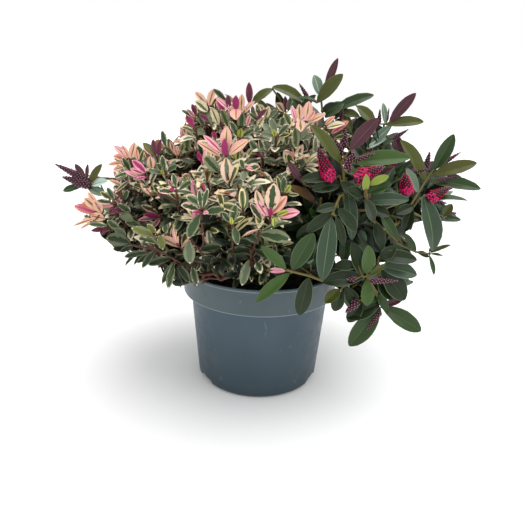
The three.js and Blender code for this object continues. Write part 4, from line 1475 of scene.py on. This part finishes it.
def spike_profile(t):
    """A spike's radius at t as a part of its full radius: a short swell, then a long taper."""
    swell = min(1, 0.72 + 1.6 * t)
    taper = min(1, 1.2 * (1 - t) ** 0.58 + 0.03)
    return swell * taper


def add_raceme(bundle, raceme, rng):
    """Buds in close spirals round a spike, drawn out into flowers where it has opened."""
    way = raceme.tip - raceme.foot
    length = np.linalg.norm(way)
    axis = way / length
    across = aside_of(axis)
    core_line = [raceme.foot + way * (CORE_ENDS * t) for t in CORE_STATIONS]
    core = [max(THINNEST_CORE, CORE * raceme.radius * spike_profile(t)) for t in CORE_STATIONS]
    bundle.add(*tube(core_line, core, sides=8), "bud_dark")
    bud_gap = OPEN_GAP if raceme.opened else BUD_GAP[0] + BUD_GAP[1] * raceme.radius
    t, index = FIRST_BUD, 0
    while t < LAST_BUD:
        radius = raceme.radius * spike_profile(t)
        out = turned(across, axis, index * GOLDEN)
        spot = raceme.foot + way * t
        if t < raceme.opened:
            reach = radius * rng.uniform(*FLOWER_REACH)
            add_flower(bundle, spot, unit(out + axis * FLOWER_RISE), reach, rng)
            gap = FLOWER_GAP
        else:
            bright = raceme.opened and t < BRIGHT_BELOW + (1 - BRIGHT_BELOW) * rng.random()
            half_width = bud_gap * (BRIGHT_WIDTH if bright else BUD_WIDTH)
            centre = spot + out * (radius - half_width * BUD_SUNK)
            aim = unit(out + axis * BUD_RISE)
            shade = "bud_bright" if bright else "bud_dot"
            add_bead(bundle, centre, aim, half_width, half_width * BUD_LENGTH, shade)
            gap = bud_gap
        t += PACKING * gap**2 / (2 * math.pi * max(radius, LEAST_RADIUS) * length)
        index += 1


def add_flower(bundle, spot, aim, reach, rng):
    """A slender tube with four small pointed petals round its mouth."""
    centre = spot + aim * reach * TUBE_MIDDLE
    add_bead(bundle, centre, aim, TUBE_HALF_WIDTH, reach * TUBE_HALF_LENGTH, "petal")
    mouth = spot + aim * reach * MOUTH
    size = PETAL * rng.uniform(*PETAL_STRAY)
    first = turned(aside_of(aim), aim, rng.uniform(0, math.pi))
    for k in range(4):
        out = turned(first, aim, k * math.pi / 2)
        side = np.cross(aim, out) * size * PETAL_HALF_WIDTH
        widest = mouth + out * size * PETAL_WIDEST[0] + aim * size * PETAL_WIDEST[1]
        points = [mouth, widest + side, mouth + out * size, widest - side]
        faces = [(0, 1, 2), (0, 2, 3), (0, 3, 1), (1, 3, 2)]
        bundle.add(points, faces, "petal_bright" if k % 2 else "petal")


# ======== What scattered leaves leave open ========
NEARER = 1.0  # a leaf hides what is at least this much further from the viewer, mm
ALONG_LEAF = (0.3, 0.65, 0.97)
ALONG_SHOWN = (0.12, 0.38, 0.64, 0.9)
POT_MARGIN = 2  # mm that leaves keep from the pot's wall


def points_along(leaves, shares):
    return np.array([[leaf.base + leaf.along * leaf.length * t for t in shares] for leaf in leaves])


class Shown:
    """The places that the picture shows. Nothing scattered may stand between them and the viewer."""

    def __init__(self):
        self.places = []

    def keep(self, start, end, radius):
        """Marks the run from start to end. The radius is in pixels."""
        for t in ALONG_SHOWN:
            point = start + (end - start) * t
            self.places.append((*pixel_of(point), point[1], radius))

    def hidden_by(self, leaves, half_width):
        """Which of the leaves cover a shown place or reach into an open one. The half width is in pixels."""
        samples = points_along(leaves, ALONG_LEAF)
        kept = np.array(self.places)
        places = pixel_of(samples)
        near = np.linalg.norm(places[:, :, None] - kept[:, :2], axis=-1) < kept[:, 3] + half_width
        over = samples[..., 1][:, :, None] < kept[:, 2] - NEARER
        return (near & over).any((1, 2)) | in_open(places, half_width / 2).any(1)


def in_open(places, margin):
    """Which picture places are open, or outside the crown."""
    gaps = np.array(OPEN)
    in_gap = np.linalg.norm(places[..., None, :] - gaps[:, :2], axis=-1) < gaps[:, 2] + margin
    above = places[..., 1] < np.interp(places[..., 0], *np.transpose(UPPER_EDGE))
    below = places[..., 1] > np.interp(places[..., 0], *np.transpose(LOWER_EDGE))
    return in_gap.any(-1) | above | below


def in_pot(points):
    """Which points are in the pot's wall or in the compost."""
    radius = np.hypot(points[..., 0], points[..., 1])
    below_rim = points[..., 2] < POT_HEIGHT + POT_MARGIN
    in_wall = below_rim & (radius < RIM_RADIUS + POT_MARGIN) & (radius > COMPOST_RADIUS - POT_MARGIN)
    return in_wall | ((points[..., 2] < COMPOST_TOP + 1) & (radius < RIM_RADIUS))


def leave_out(wrong, leaves):
    """The leaves that aren't wrong."""
    return [leaf for leaf, bad in zip(leaves, wrong) if not bad]


def clear_of_pot(leaves):
    """The leaves that neither reach into the pot nor hang down to its foot."""
    if not leaves:
        return leaves
    samples = points_along(leaves, (0.6, 1))
    return leave_out(in_pot(samples).any(1) | (samples[:, 1, 2] < LOWEST_LEAF), leaves)


# ======== Scattered shoots ========
TRIES = 8  # places tried for each that there is room for
NEIGHBOUR_GAP = 8  # mm between the boxes of masses that may cover one another
OVER_SKIN = 4  # mm out from a place on the skin, where other masses are looked for
COVERED = 7  # mm: a place is buried where another mass's skin comes this near
UNDERSIDE = -0.45  # skin is an underside where its normal looks down more than this
UNDERSIDE_SKIPPED = 0.6  # the share of an underside's places that stay bare
SPACING_STRAY = (0.85, 1.15)
DOWNWARD = -0.2
LIFTS = (0.15, 0.55)  # how much shoots turn up, on skin that looks down more than DOWNWARD and on other skin
PULL_OUT = 0.6  # how much they follow the skin's normal, and as much the way out from the crown's centre
AXIS_STRAY = 0.16
BUD_CHANCE = 0.6


def skin_points(mass, rng):
    """Points dealt over a mass's skin by area, each with its outward direction."""
    a, b, c = (mass.points[mass.triangles[:, k]] for k in range(3))
    cross = np.cross(b - a, c - a)
    area = np.linalg.norm(cross, axis=1)
    count = int(TRIES * area.sum() / 2 / FORMS[mass.form].spacing ** 2)
    pick = rng.choice(len(area), size=count, p=area / area.sum())
    s, t = rng.random(count), rng.random(count)
    flip = s + t > 1
    s, t = np.where(flip, 1 - s, s), np.where(flip, 1 - t, t)
    points = a[pick] + (b - a)[pick] * s[:, None] + (c - a)[pick] * t[:, None]
    return points, cross[pick] / area[pick][:, None]


def neighbours_of(mass):
    low, high = mass.points.min(0) - NEIGHBOUR_GAP, mass.points.max(0) + NEIGHBOUR_GAP
    others = [other for other in MASSES.values() if other is not mass]
    return [m for m in others if np.all(m.points.max(0) > low) and np.all(m.points.min(0) < high)]


def buried(point, normal, near):
    """True where another mass covers this part of the skin."""
    for other in near:
        over = Vector(point + normal * OVER_SKIN)
        if inside(other, point) or other.tree.find_nearest(over)[3] < COVERED:
            return True
    return False


def scattered_shoots(taken, rng):
    """Shoots dealt over the skins of all masses but the sprig, apart from the places already taken."""
    places = list(taken)
    shoots = []
    for mass in MASSES.values():
        if mass.name.endswith(SPRIG):
            continue
        form = FORMS[mass.form]
        near = neighbours_of(mass)
        for point, normal in zip(*skin_points(mass, rng)):
            if normal[2] < UNDERSIDE and rng.random() < UNDERSIDE_SKIPPED:
                continue
            nearest = np.min(np.linalg.norm(np.array(places) - point, axis=1))
            if nearest < form.spacing * rng.uniform(*SPACING_STRAY):
                continue
            if buried(point, normal, near):
                continue
            outward = unit(point - CROWN_CENTRE)
            lift = LIFTS[int(normal[2] > DOWNWARD)]
            axis = unit(normal * PULL_OUT + outward * PULL_OUT + UP * lift + rng.normal(size=3) * AXIS_STRAY)
            places.append(point)
            style = dealt_style(mass.form, point, normal, rng)
            bud = BUDS.get(style) if rng.random() < BUD_CHANCE else None
            length, size = rng.uniform(*form.lengths), rng.uniform(*form.sizes)
            apex = point - axis * form.inset
            shoots.append((mass, Shoot(mass.form, apex, axis, length, style, size, bud)))
    return shoots


# How much light falls on a shoot: more where the skin looks up, and more the higher it is.
LEVEL_HEIGHT = 180  # mm, where height adds nothing
HEIGHT_RANGE = 120  # mm for each 1 of light
SKY_LIGHT = 0.5  # on skin that looks straight up
LIGHT_STRAY = 0.2
LEFT_END = -60  # left of this the cream-edged form reaches out into the light
LEFT_RANGE = 260
SUNLIT_FROM = 0.2
SHADED_FROM = -0.15
# The share of each style: on the sunlit skin of the crown, in the shade, and low down or inside. Besides the
# plant's own colouring, the paler styles in the light are painted light, and the darker ones in the shade
# and inside are painted shade.
SUNLIT = {
    "variegated": {"salmon": 19, "rosy": 9, "cream": 46, "magenta": 4, "lime": 4, "plain": 16, "plum": 2},
    "green": {"maroon": 12, "olive": 24, "green": 40, "lime": 4, "blue": 20},
}
SHADED = {
    "variegated": {"salmon": 2, "rosy": 2, "cream": 7, "magenta": 2, "lime": 3, "plain": 64, "deep": 20},
    "green": {"maroon": 3, "olive": 13, "green": 46, "lime": 3, "blue": 20, "deep": 15},
}
DEEP = {
    "variegated": {"cream": 2, "plain": 18, "deep": 80},
    "green": {"green": 36, "blue": 8, "deep": 56},
}


def dealt_style(form, point, normal, rng):
    """Pale and salmon tips show on the upper and outer crown, plain dark ones low down and inside: partly
    the plant's own colouring, partly painted light and painted shade.
    """
    light = normal[2] * SKY_LIGHT + (point[2] - LEVEL_HEIGHT) / HEIGHT_RANGE + rng.normal() * LIGHT_STRAY
    if form == "variegated":
        light += (LEFT_END - point[0]) / LEFT_RANGE * (0.5 + 0.5 * normal[2])
    shares = SUNLIT if light > SUNLIT_FROM else SHADED if light > SHADED_FROM else DEEP
    weights = np.array(list(shares[form].values()))
    return str(rng.choice(list(shares[form]), p=weights / weights.sum()))


# ======== Growing the crown ========
FEWEST_LEAVES = 4  # a scattered shoot with fewer is left out
SHARPEST_TURN = math.cos(math.radians(125))
FOOT_CLEAR = 8  # mm from the masses of its form, past which a shoot's foot is outside the crown
FOOT_FAR = 24  # mm, past which it is far outside
FRONT_LIMIT = -30  # nearer masses bear only the pictured flower spikes
SPIKE_CHANCE = 0.5  # that a scattered green tip bears a spike
FLOWER_CHANCE = 0.16  # that it bears one in flower, where it points away from the viewer
SPIKE_FOOT = 7  # mm below the apex
SPIKE_OPENED = 0.35
SPIKE_LEAN = 0.5  # sideways, against 1 along the shoot
SPIKE_MARGIN = 5  # pixels that it keeps from open places
FLOWER_LENGTH, FLOWER_RADIUS = 36, 6.6
CLOSED_LENGTHS, CLOSED_RADIUS = (16, 26), 2.8


class Crown:
    """What has grown so far: twigs by form, leaves by mass, and flower spikes."""

    def __init__(self):
        self.twigs = {name: Twigs(form.stem) for name, form in FORMS.items()}
        self.leaves = {mass.name: [] for mass in MASSES.values()}
        self.racemes = []
        self.shown = Shown()

    def start(self):
        """The first twig of each mass goes on from the end of its limb to the mass's centre."""
        for form, tree in self.twigs.items():
            for name, end in limb_ends(form).items():
                centre = next(mass.centre for mass in MASSES.values() if mass.name == name)
                tree.grow(tree.add_point(end, None), centre, unit(centre - end))

    def foot_of(self, shoot):
        """The foot of a shoot's stem, and which point of the tree it would be tied to."""
        foot = stem_point(shoot, shoot.length)
        return foot, self.twigs[shoot.form].origin(foot, shoot.axis)

    def add_stem(self, shoot):
        tree = self.twigs[shoot.form]
        foot, origin = self.foot_of(shoot)
        tree.carry(tree.extend(tree.grow(origin, foot, shoot.axis), shoot.apex, 4))

    def add_mark(self, mark, depth, form, rng):
        """A pictured leaf, tied to the twig beside it."""
        leaf = pictured_leaf(mark, depth, FORMS[form], rng)
        self.twigs[form].tie(leaf.base, leaf.along)
        self.leaves[owner(form, leaf.base).name].append(leaf)
        self.shown.keep(leaf.base, leaf.base + leaf.along * leaf.length, mark.width / 2)

    def add_star(self, star, rng):
        """A pictured tip of the cream-edged form, with older pairs dealt out under it. Gives its heart."""
        depth = crown_depth(*star.heart) + STAR_INSET
        heart = at_pixel(*star.heart, depth)
        style = "cream" if star.heart[1] < LIT_ABOVE else "plain"
        shoot = Shoot("variegated", heart, STAR_AXIS, STAR_STEM, style, STAR_SIZE, None)
        self.add_stem(shoot)
        for mark in star.leaves:
            self.add_mark(mark, depth, "variegated", rng)
        under = clear_of_pot(shoot_leaves(shoot, rng, first=YOUNG_PAIRS))
        mass = owner("variegated", heart)
        self.leaves[mass.name] += leave_out(self.shown.hidden_by(under, half_width=1), under)
        return heart

    def add_spray(self, spray, rng):
        """A pictured stem with the leaves that the picture shows on it. No other shoot grows on from it."""
        tree = self.twigs[spray.form]
        stem = [at_pixel(*place) for place in spray.stem]
        heading = unit(stem[1] - stem[0])
        last = tree.grow(tree.origin(stem[0], heading), stem[0], heading)
        for point in stem[1:]:
            last = tree.extend(last, point, 3, bears=False)
        tree.carry(last)
        for mark in spray.leaves:
            self.add_mark(mark, depth_on(spray.stem, mark.base), spray.form, rng)

    def add_spike(self, spike):
        foot = at_pixel(*spike.foot, spike.depth)
        tip = at_pixel(*spike.tip, spike.depth)
        self.racemes.append(Raceme(foot, tip, mm_wide(spike.radius, foot), spike.opened))
        self.twigs["green"].tie(foot, unit(tip - foot))
        self.shown.keep(foot, tip, spike.radius)

    def add_scattered(self, mass, shoot, rng):
        made = clear_of_pot(shoot_leaves(shoot, rng))
        if made:
            made = leave_out(self.shown.hidden_by(made, FORMS[shoot.form].half_width), made)
        if len(made) < FEWEST_LEAVES or self.hangs_clear(shoot):
            return
        if in_open(pixel_of(self.way_to(shoot)), margin=0).any():
            return
        self.leaves[mass.name] += made
        self.add_stem(shoot)
        if shoot.form == "green" and mass.centre[1] > FRONT_LIMIT:
            self.add_own_spikes(shoot, rng)

    def hangs_clear(self, shoot):
        """Whether a shoot's foot is far outside the crown, or outside it on a sharply turned twig."""
        foot, origin = self.foot_of(shoot)
        gap = skin_gap(owner(shoot.form, foot), foot)
        way = unit(foot - self.twigs[shoot.form].points[origin])
        return gap > FOOT_FAR or (gap > FOOT_CLEAR and way.dot(shoot.axis) < SHARPEST_TURN)

    def way_to(self, shoot):
        """Points along a shoot's stem and the twig that would join it to the tree."""
        foot, origin = self.foot_of(shoot)
        start = self.twigs[shoot.form].points[origin]
        twig = [start + (foot - start) * t for t in (0.25, 0.5, 0.75)]
        return np.array([*twig, foot, stem_point(shoot, shoot.length / 2), shoot.apex])

    def add_own_spikes(self, shoot, rng):
        """Bud spikes, and now and then an open one at the back, from the leaf angles of a scattered tip."""
        chance = rng.random()
        if chance > SPIKE_CHANCE:
            return
        opened = SPIKE_OPENED if chance < FLOWER_CHANCE and shoot.axis.dot(LOOK) > 0 else 0
        foot = stem_point(shoot, SPIKE_FOOT)
        side = turned(square_to(rng.normal(size=3), shoot.axis), shoot.axis, rng.uniform(0, 2 * math.pi))
        length = FLOWER_LENGTH if opened else rng.uniform(*CLOSED_LENGTHS)
        way = unit(shoot.axis + side * SPIKE_LEAN) * length
        if not in_open(pixel_of([foot + way * t for t in (0.4, 0.7, 1)]), SPIKE_MARGIN).any():
            radius = FLOWER_RADIUS if opened else CLOSED_RADIUS
            self.racemes.append(Raceme(foot, foot + way, radius, opened))


def mm_wide(pixels, point):
    """The real size of so many pixels at a point."""
    return pixels * (point - CAMERA_AT).dot(LOOK) / FOCAL_PX


def pictured_leaf(mark, depth, form, rng):
    base = at_pixel(*mark.base, depth)
    out = mark.out
    if out is None:
        downward = (mark.tip[1] - mark.base[1]) / math.dist(mark.base, mark.tip)
        out = LEAN_OUT * (1 + downward)
    tip = at_pixel(*mark.tip, depth + out)
    along = unit(tip - base)
    return Leaf(
        plan=form.fine,
        base=base,
        along=along,
        up=square_to(FACES[mark.face], along),
        length=np.linalg.norm(tip - base),
        width=mm_wide(mark.width, base),
        bend=mark.bend,
        fold=form.fold,
        twist=rng.normal(0, PICTURED_TWIST),
        colours=form.looks[mark.look],
        share=heart_share(mark.look, rng),
    )


def depth_on(stem, place):
    """The depth of a pictured stem beside a picture place."""
    stem = np.array(stem, float)
    best = None
    for start, end in zip(stem[:-1], stem[1:]):
        run = end[:2] - start[:2]
        share = np.clip((np.array(place) - start[:2]).dot(run) / run.dot(run), 0, 1)
        far = np.linalg.norm(start[:2] + run * share - place)
        if best is None or far < best[0]:
            best = (far, start[2] + (end[2] - start[2]) * share)
    return best[1]


def grow_crown():
    """Pictured parts come first, with random numbers of their own. Scattered shoots fill in round them."""
    placed_rng = np.random.default_rng(SEED + 3)
    rng = np.random.default_rng(SEED)
    crown = Crown()
    crown.start()
    for spray in SPRAYS.values():
        crown.add_spray(spray, placed_rng)
    for spike in SPIKES:
        crown.add_spike(spike)
    taken = [crown.add_star(star, placed_rng) for star in STARS.values()]
    shoots = scattered_shoots(taken, rng)
    shoots.sort(key=lambda pair: np.linalg.norm(pair[1].apex - CROWN_CENTRE))
    for mass, shoot in shoots:
        crown.add_scattered(mass, shoot, rng)
    return crown


def make_foliage(crown):
    """A piece of leaves for each mass, and one each of the flower spikes and each form's twigs."""
    for mass in MASSES.values():
        bundle = Bundle(mass.name.replace("foliage", "leaves"), f"leaves_{mass.form}")
        for plan in LEAF_PLANS:
            add_leaves(bundle, [leaf for leaf in crown.leaves[mass.name] if leaf.plan is plan], plan)
        bundle.join(mass.name)
    for name, tree in crown.twigs.items():
        bundle = Bundle(f"twigs_{name}", f"bark_{name}")
        tree.build(bundle, FORMS[name].tip_radius, THICKEST_TWIG)
        bundle.join()
    rng = np.random.default_rng(SEED + 1)
    spikes = Bundle("flower_spikes", "leaves_green")
    for raceme in crown.racemes:
        add_raceme(spikes, raceme, rng)
    spikes.join()


# ======== Limbs ========
BARK_CUTS = 4
BARK_RELIEF = 0.45  # mm
RIDGES = np.array([0.55, 0.55, 0.1])  # how fast the bark's noise changes along X, Y and Z, for each mm
GRAIN = np.array([1.7, 1.7, 0.6])
GRAIN_SHARE = 0.4
SMOOTHINGS = 3


def bark_relief(points):
    """Long ridges and fine grain, as a height for each point."""
    ridges = np.array([noise.noise(Vector(point)) for point in points * RIDGES])
    grain = np.array([noise.noise(Vector(point)) for point in points * GRAIN])
    return BARK_RELIEF * (ridges + GRAIN_SHARE * grain)


def limb_skin(name):
    """A CAD limb with rounded sides and bark relief."""
    points, triangles = node_arrays(name)
    made = bmesh.new()
    verts = [made.verts.new(point) for point in points]
    for triangle in triangles:
        made.faces.new([verts[i] for i in triangle])
    bmesh.ops.remove_doubles(made, verts=made.verts, dist=0.01)
    bmesh.ops.subdivide_edges(made, edges=made.edges, cuts=BARK_CUTS, use_grid_fill=True)
    bmesh.ops.triangulate(made, faces=made.faces)
    every_way = {"use_axis_x": True, "use_axis_y": True, "use_axis_z": True}
    for _ in range(SMOOTHINGS):
        bmesh.ops.smooth_vert(made, verts=made.verts, factor=0.5, **every_way)
    made.normal_update()
    places = np.array([v.co for v in made.verts])
    normals = np.array([v.normal for v in made.verts])
    made.verts.index_update()
    faces = np.array([[v.index for v in face.verts] for face in made.faces])
    made.free()
    return places + normals * bark_relief(places)[:, None], faces


def make_limbs():
    for form in FORMS:
        bundle = Bundle(f"limbs_{form}", f"bark_{form}")
        names = limb_names(form)
        for name in names:
            bundle.add(*limb_skin(name), f"bark_{form}")
        bundle.join(*names)


# ======== Pot and compost ========
POT_SIDES = 192
COMPOST_SIDES = 144
COMPOST_RINGS = 44
COMPOST_DIP = 3  # how much lower the compost is at the wall than in the middle
LEVEL_RADIUS = 40  # inside this it is level
COMPOST_GAP = 0.3  # between the compost and the pot's floor and ledge
COMPOST_INSET = 2.5  # from the outside of the pot's body
COMPOST_EDGE = 0.5  # how far in from its side the rings next to it are
# The coarse and the fine lumps of its top: their rate for each mm, their height, and a slice of the noise.
LUMPS = ((0.09, 1.1, 3), (0.4, 0.8, 7))
CRUMB_SIZES = (0.7, 2.2)
CRUMB_SHAPE = (0.7, 1)  # how uneven a crumb's three sizes are
CRUMBS_WITHIN = 0.97  # of the compost's radius
CRUMB_LIFT = 0.3  # of a crumb's middle above the top
DENTS, DENT_RATE = 0.3, 2.1  # how deep a crumb's dents are, and how close together
SOIL_EVERY = 3
PERLITE_EVERY = 34


def rounded(corners, steps=6):
    """An outline through (radius, height, fillet) corners, each turned by an arc of its fillet radius."""
    outline = []
    for k, (r, z, fillet) in enumerate(corners):
        here = np.array([r, z], float)
        if not fillet:
            outline.append(here)
            continue
        back = unit(np.array(corners[k - 1][:2]) - here)
        on = unit(np.array(corners[k + 1][:2]) - here)
        half = math.acos(np.clip(back.dot(on), -1, 1)) / 2
        centre = here + unit(back + on) * fillet / math.sin(half)
        first = here + back * fillet / math.tan(half) - centre
        last = here + on * fillet / math.tan(half) - centre
        sweep = math.pi - 2 * half
        for step in range(steps + 1):
            t = step / steps
            spot = first * math.sin((1 - t) * sweep) + last * math.sin(t * sweep)
            outline.append(centre + spot / math.sin(sweep))
    return outline


def lathe(outline, sides):
    """A closed turned solid. The outline starts and ends on the axis."""
    rings = [circle((0, 0, z), r, np.array([1.0, 0, 0]), UP, sides) for r, z in outline[1:-1]]
    return ringed(rings, (0, 0, outline[0][1]), (0, 0, outline[-1][1]))


def wall_radius(height):
    return BASE_RADIUS + (BODY_TOP_RADIUS - BASE_RADIUS) * height / BAND_FOOT


def pot_outline():
    step_top = BAND_FOOT + BAND_STEP
    bead_foot = POT_HEIGHT - BEAD_HEIGHT
    return rounded(
        [
            (0, 0, 0),
            (BASE_RADIUS - 3, 0, 0),
            (wall_radius(3), 3, 1.5),
            (wall_radius(60), 60, 0),
            (BODY_TOP_RADIUS, BAND_FOOT, 0.8),
            (BAND_FOOT_RADIUS, step_top, 2.2),
            (RIM_RADIUS - 0.4, bead_foot - 0.4, 0),
            (RIM_RADIUS + 0.25, bead_foot + 0.4, 0.3),
            (RIM_RADIUS + 0.25, POT_HEIGHT, 0.9),
            (RIM_RADIUS - WALL, POT_HEIGHT, 0.8),
            (BAND_FOOT_RADIUS - WALL, step_top + WALL, 1),
            (BODY_TOP_RADIUS - WALL, BAND_FOOT + WALL, 0.8),
            (wall_radius(POT_FLOOR) - WALL, POT_FLOOR, 1),
            (0, POT_FLOOR, 0),
        ]
    )


def arch_cutter(width, height, azimuth):
    """A level cylinder across the foot of the wall, so that only its crown rises above the base."""
    radius = width**2 / (8 * height) + height / 2
    made = bmesh.new()
    bmesh.ops.create_cone(
        made, cap_ends=True, segments=64, radius1=radius * MM, radius2=radius * MM, depth=DRAIN_DEPTH * MM
    )
    mesh = bpy.data.meshes.new("cutter")
    lay = Matrix.Rotation(math.pi / 2, 4, "Y")
    middle = BASE_RADIUS + CUTTER_PROUD - DRAIN_DEPTH / 2
    out = Matrix.Translation((middle * MM, 0, (height - radius) * MM))
    made.transform(Matrix.Rotation(math.radians(azimuth), 4, "Z") @ out @ lay)
    made.to_mesh(mesh)
    made.free()
    return put_in_scene("cutter", mesh)


def cut(piece, cutters):
    """Takes closed meshes out of a piece for good."""
    for cutter in cutters:
        modifier = piece.modifiers.new("cut", "BOOLEAN")
        modifier.operation = "DIFFERENCE"
        modifier.solver = "EXACT"
        modifier.object = cutter
    graph = bpy.context.evaluated_depsgraph_get()
    finished = bpy.data.meshes.new_from_object(piece.evaluated_get(graph))
    piece.modifiers.clear()
    piece.data = finished
    for cutter in cutters:
        bpy.data.objects.remove(cutter)


def make_pot():
    points, faces = lathe(pot_outline(), POT_SIDES)
    pot = joined_mesh("nursery_pot", [(points, faces, np.full(len(faces), "plastic"))])
    cutters = []
    for i in range(DRAIN_COUNT):
        azimuth = FIRST_DRAIN + i * 360 / DRAIN_COUNT
        cutters.append(arch_cutter(*ARCH, azimuth))
        cutters.append(arch_cutter(*SLOT, azimuth + SLOT_STEP))
    cut(pot, cutters)
    pot.data.shade_smooth()
    pot.data.set_sharp_from_angle(angle=POT_CREASE)
    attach(pot, "root")
    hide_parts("pot")


def compost_height(x, y):
    """The crumbly top: a low dome with lumps and hollows."""
    radius = math.hypot(x, y)
    dome = COMPOST_TOP - COMPOST_DIP * max(0, radius - LEVEL_RADIUS) / (COMPOST_RADIUS - LEVEL_RADIUS)
    return dome + sum(noise.noise(Vector((x * rate, y * rate, at))) * rise for rate, rise, at in LUMPS)


def make_compost():
    floor = POT_FLOOR + COMPOST_GAP
    ledge = BAND_FOOT + BAND_STEP + WALL + COMPOST_GAP
    top_edge = COMPOST_TOP - COMPOST_DIP
    outline = [
        (0, floor),
        (wall_radius(POT_FLOOR) - COMPOST_INSET, floor),
        (BODY_TOP_RADIUS - COMPOST_INSET, ledge),
        (COMPOST_RADIUS - COMPOST_EDGE, ledge + COMPOST_GAP),
        (COMPOST_RADIUS, top_edge),
    ]
    outline += [(r, COMPOST_TOP) for r in np.linspace(COMPOST_RADIUS - COMPOST_EDGE, 2, COMPOST_RINGS)]
    outline.append((0, COMPOST_TOP))
    points, faces = lathe(outline, COMPOST_SIDES)
    for point in points:
        if point[2] >= top_edge:
            point[2] = compost_height(point[0], point[1])
    bundle = Bundle("compost_bed", "compost")
    bundle.add(points, faces, "soil")
    rng = np.random.default_rng(SEED + 2)
    lump, lump_faces = ball(2)
    for i in range(CRUMBS):
        radius = COMPOST_RADIUS * CRUMBS_WITHIN * math.sqrt(rng.random())
        turn = rng.uniform(0, 2 * math.pi)
        x, y = radius * math.cos(turn), radius * math.sin(turn)
        centre = [x, y, compost_height(x, y) + CRUMB_LIFT]
        size = rng.uniform(*CRUMB_SIZES) * rng.uniform(*CRUMB_SHAPE, 3)
        own = Vector((i, 0, 0))
        dents = 1 + DENTS * np.array([noise.noise(Vector(point) * DENT_RATE + own) for point in lump])
        shade = "perlite" if i % PERLITE_EVERY == 0 else ("crumb" if i % SOIL_EVERY else "soil")
        bundle.add(lump * size * dents[:, None] + centre, lump_faces, shade)
    bundle.join("compost")


# ======== Stage ========
def make_stage():
    below_pot = (0, 0, -0.5 * MM)
    bpy.ops.mesh.primitive_circle_add(vertices=96, radius=12, fill_type="NGON", location=below_pot)
    floor = bpy.context.object
    floor.name = "floor"
    material, _ = principled("floor", FLOOR_COLOUR, 0.9)
    floor.data.materials.append(material)
    world = bpy.data.worlds.new("studio")
    world.use_nodes = True
    sky = world.node_tree.nodes["Background"].inputs
    sky["Color"].default_value = (1, 1, 1, 1)
    sky["Strength"].default_value = 1.0
    bpy.context.scene.world = world
    light = bpy.data.lights.new("key", "SUN")
    light.angle = math.radians(KEY_SPREAD)
    light.energy = KEY_STRENGTH
    key = put_in_scene("key", light)
    key.matrix_world = Vector(KEY_FROM).to_track_quat("Z", "Y").to_matrix().to_4x4()
    bpy.context.scene.view_settings.view_transform = "Standard"


def make_camera():
    data = bpy.data.cameras.new("camera")
    data.sensor_width = SENSOR_WIDTH
    data.lens = FOCAL_PX / FRAME_SIDE * SENSOR_WIDTH
    data.clip_start = 0.01
    camera = put_in_scene("camera", data)
    turn = Matrix([RIGHT, PICTURE_UP, -LOOK]).transposed().to_4x4()
    camera.matrix_world = Matrix.Translation(CAMERA_AT * MM) @ turn
    bpy.context.scene.camera = camera


make_pot()
make_compost()
make_limbs()
make_foliage(grow_crown())
make_stage()
make_camera()
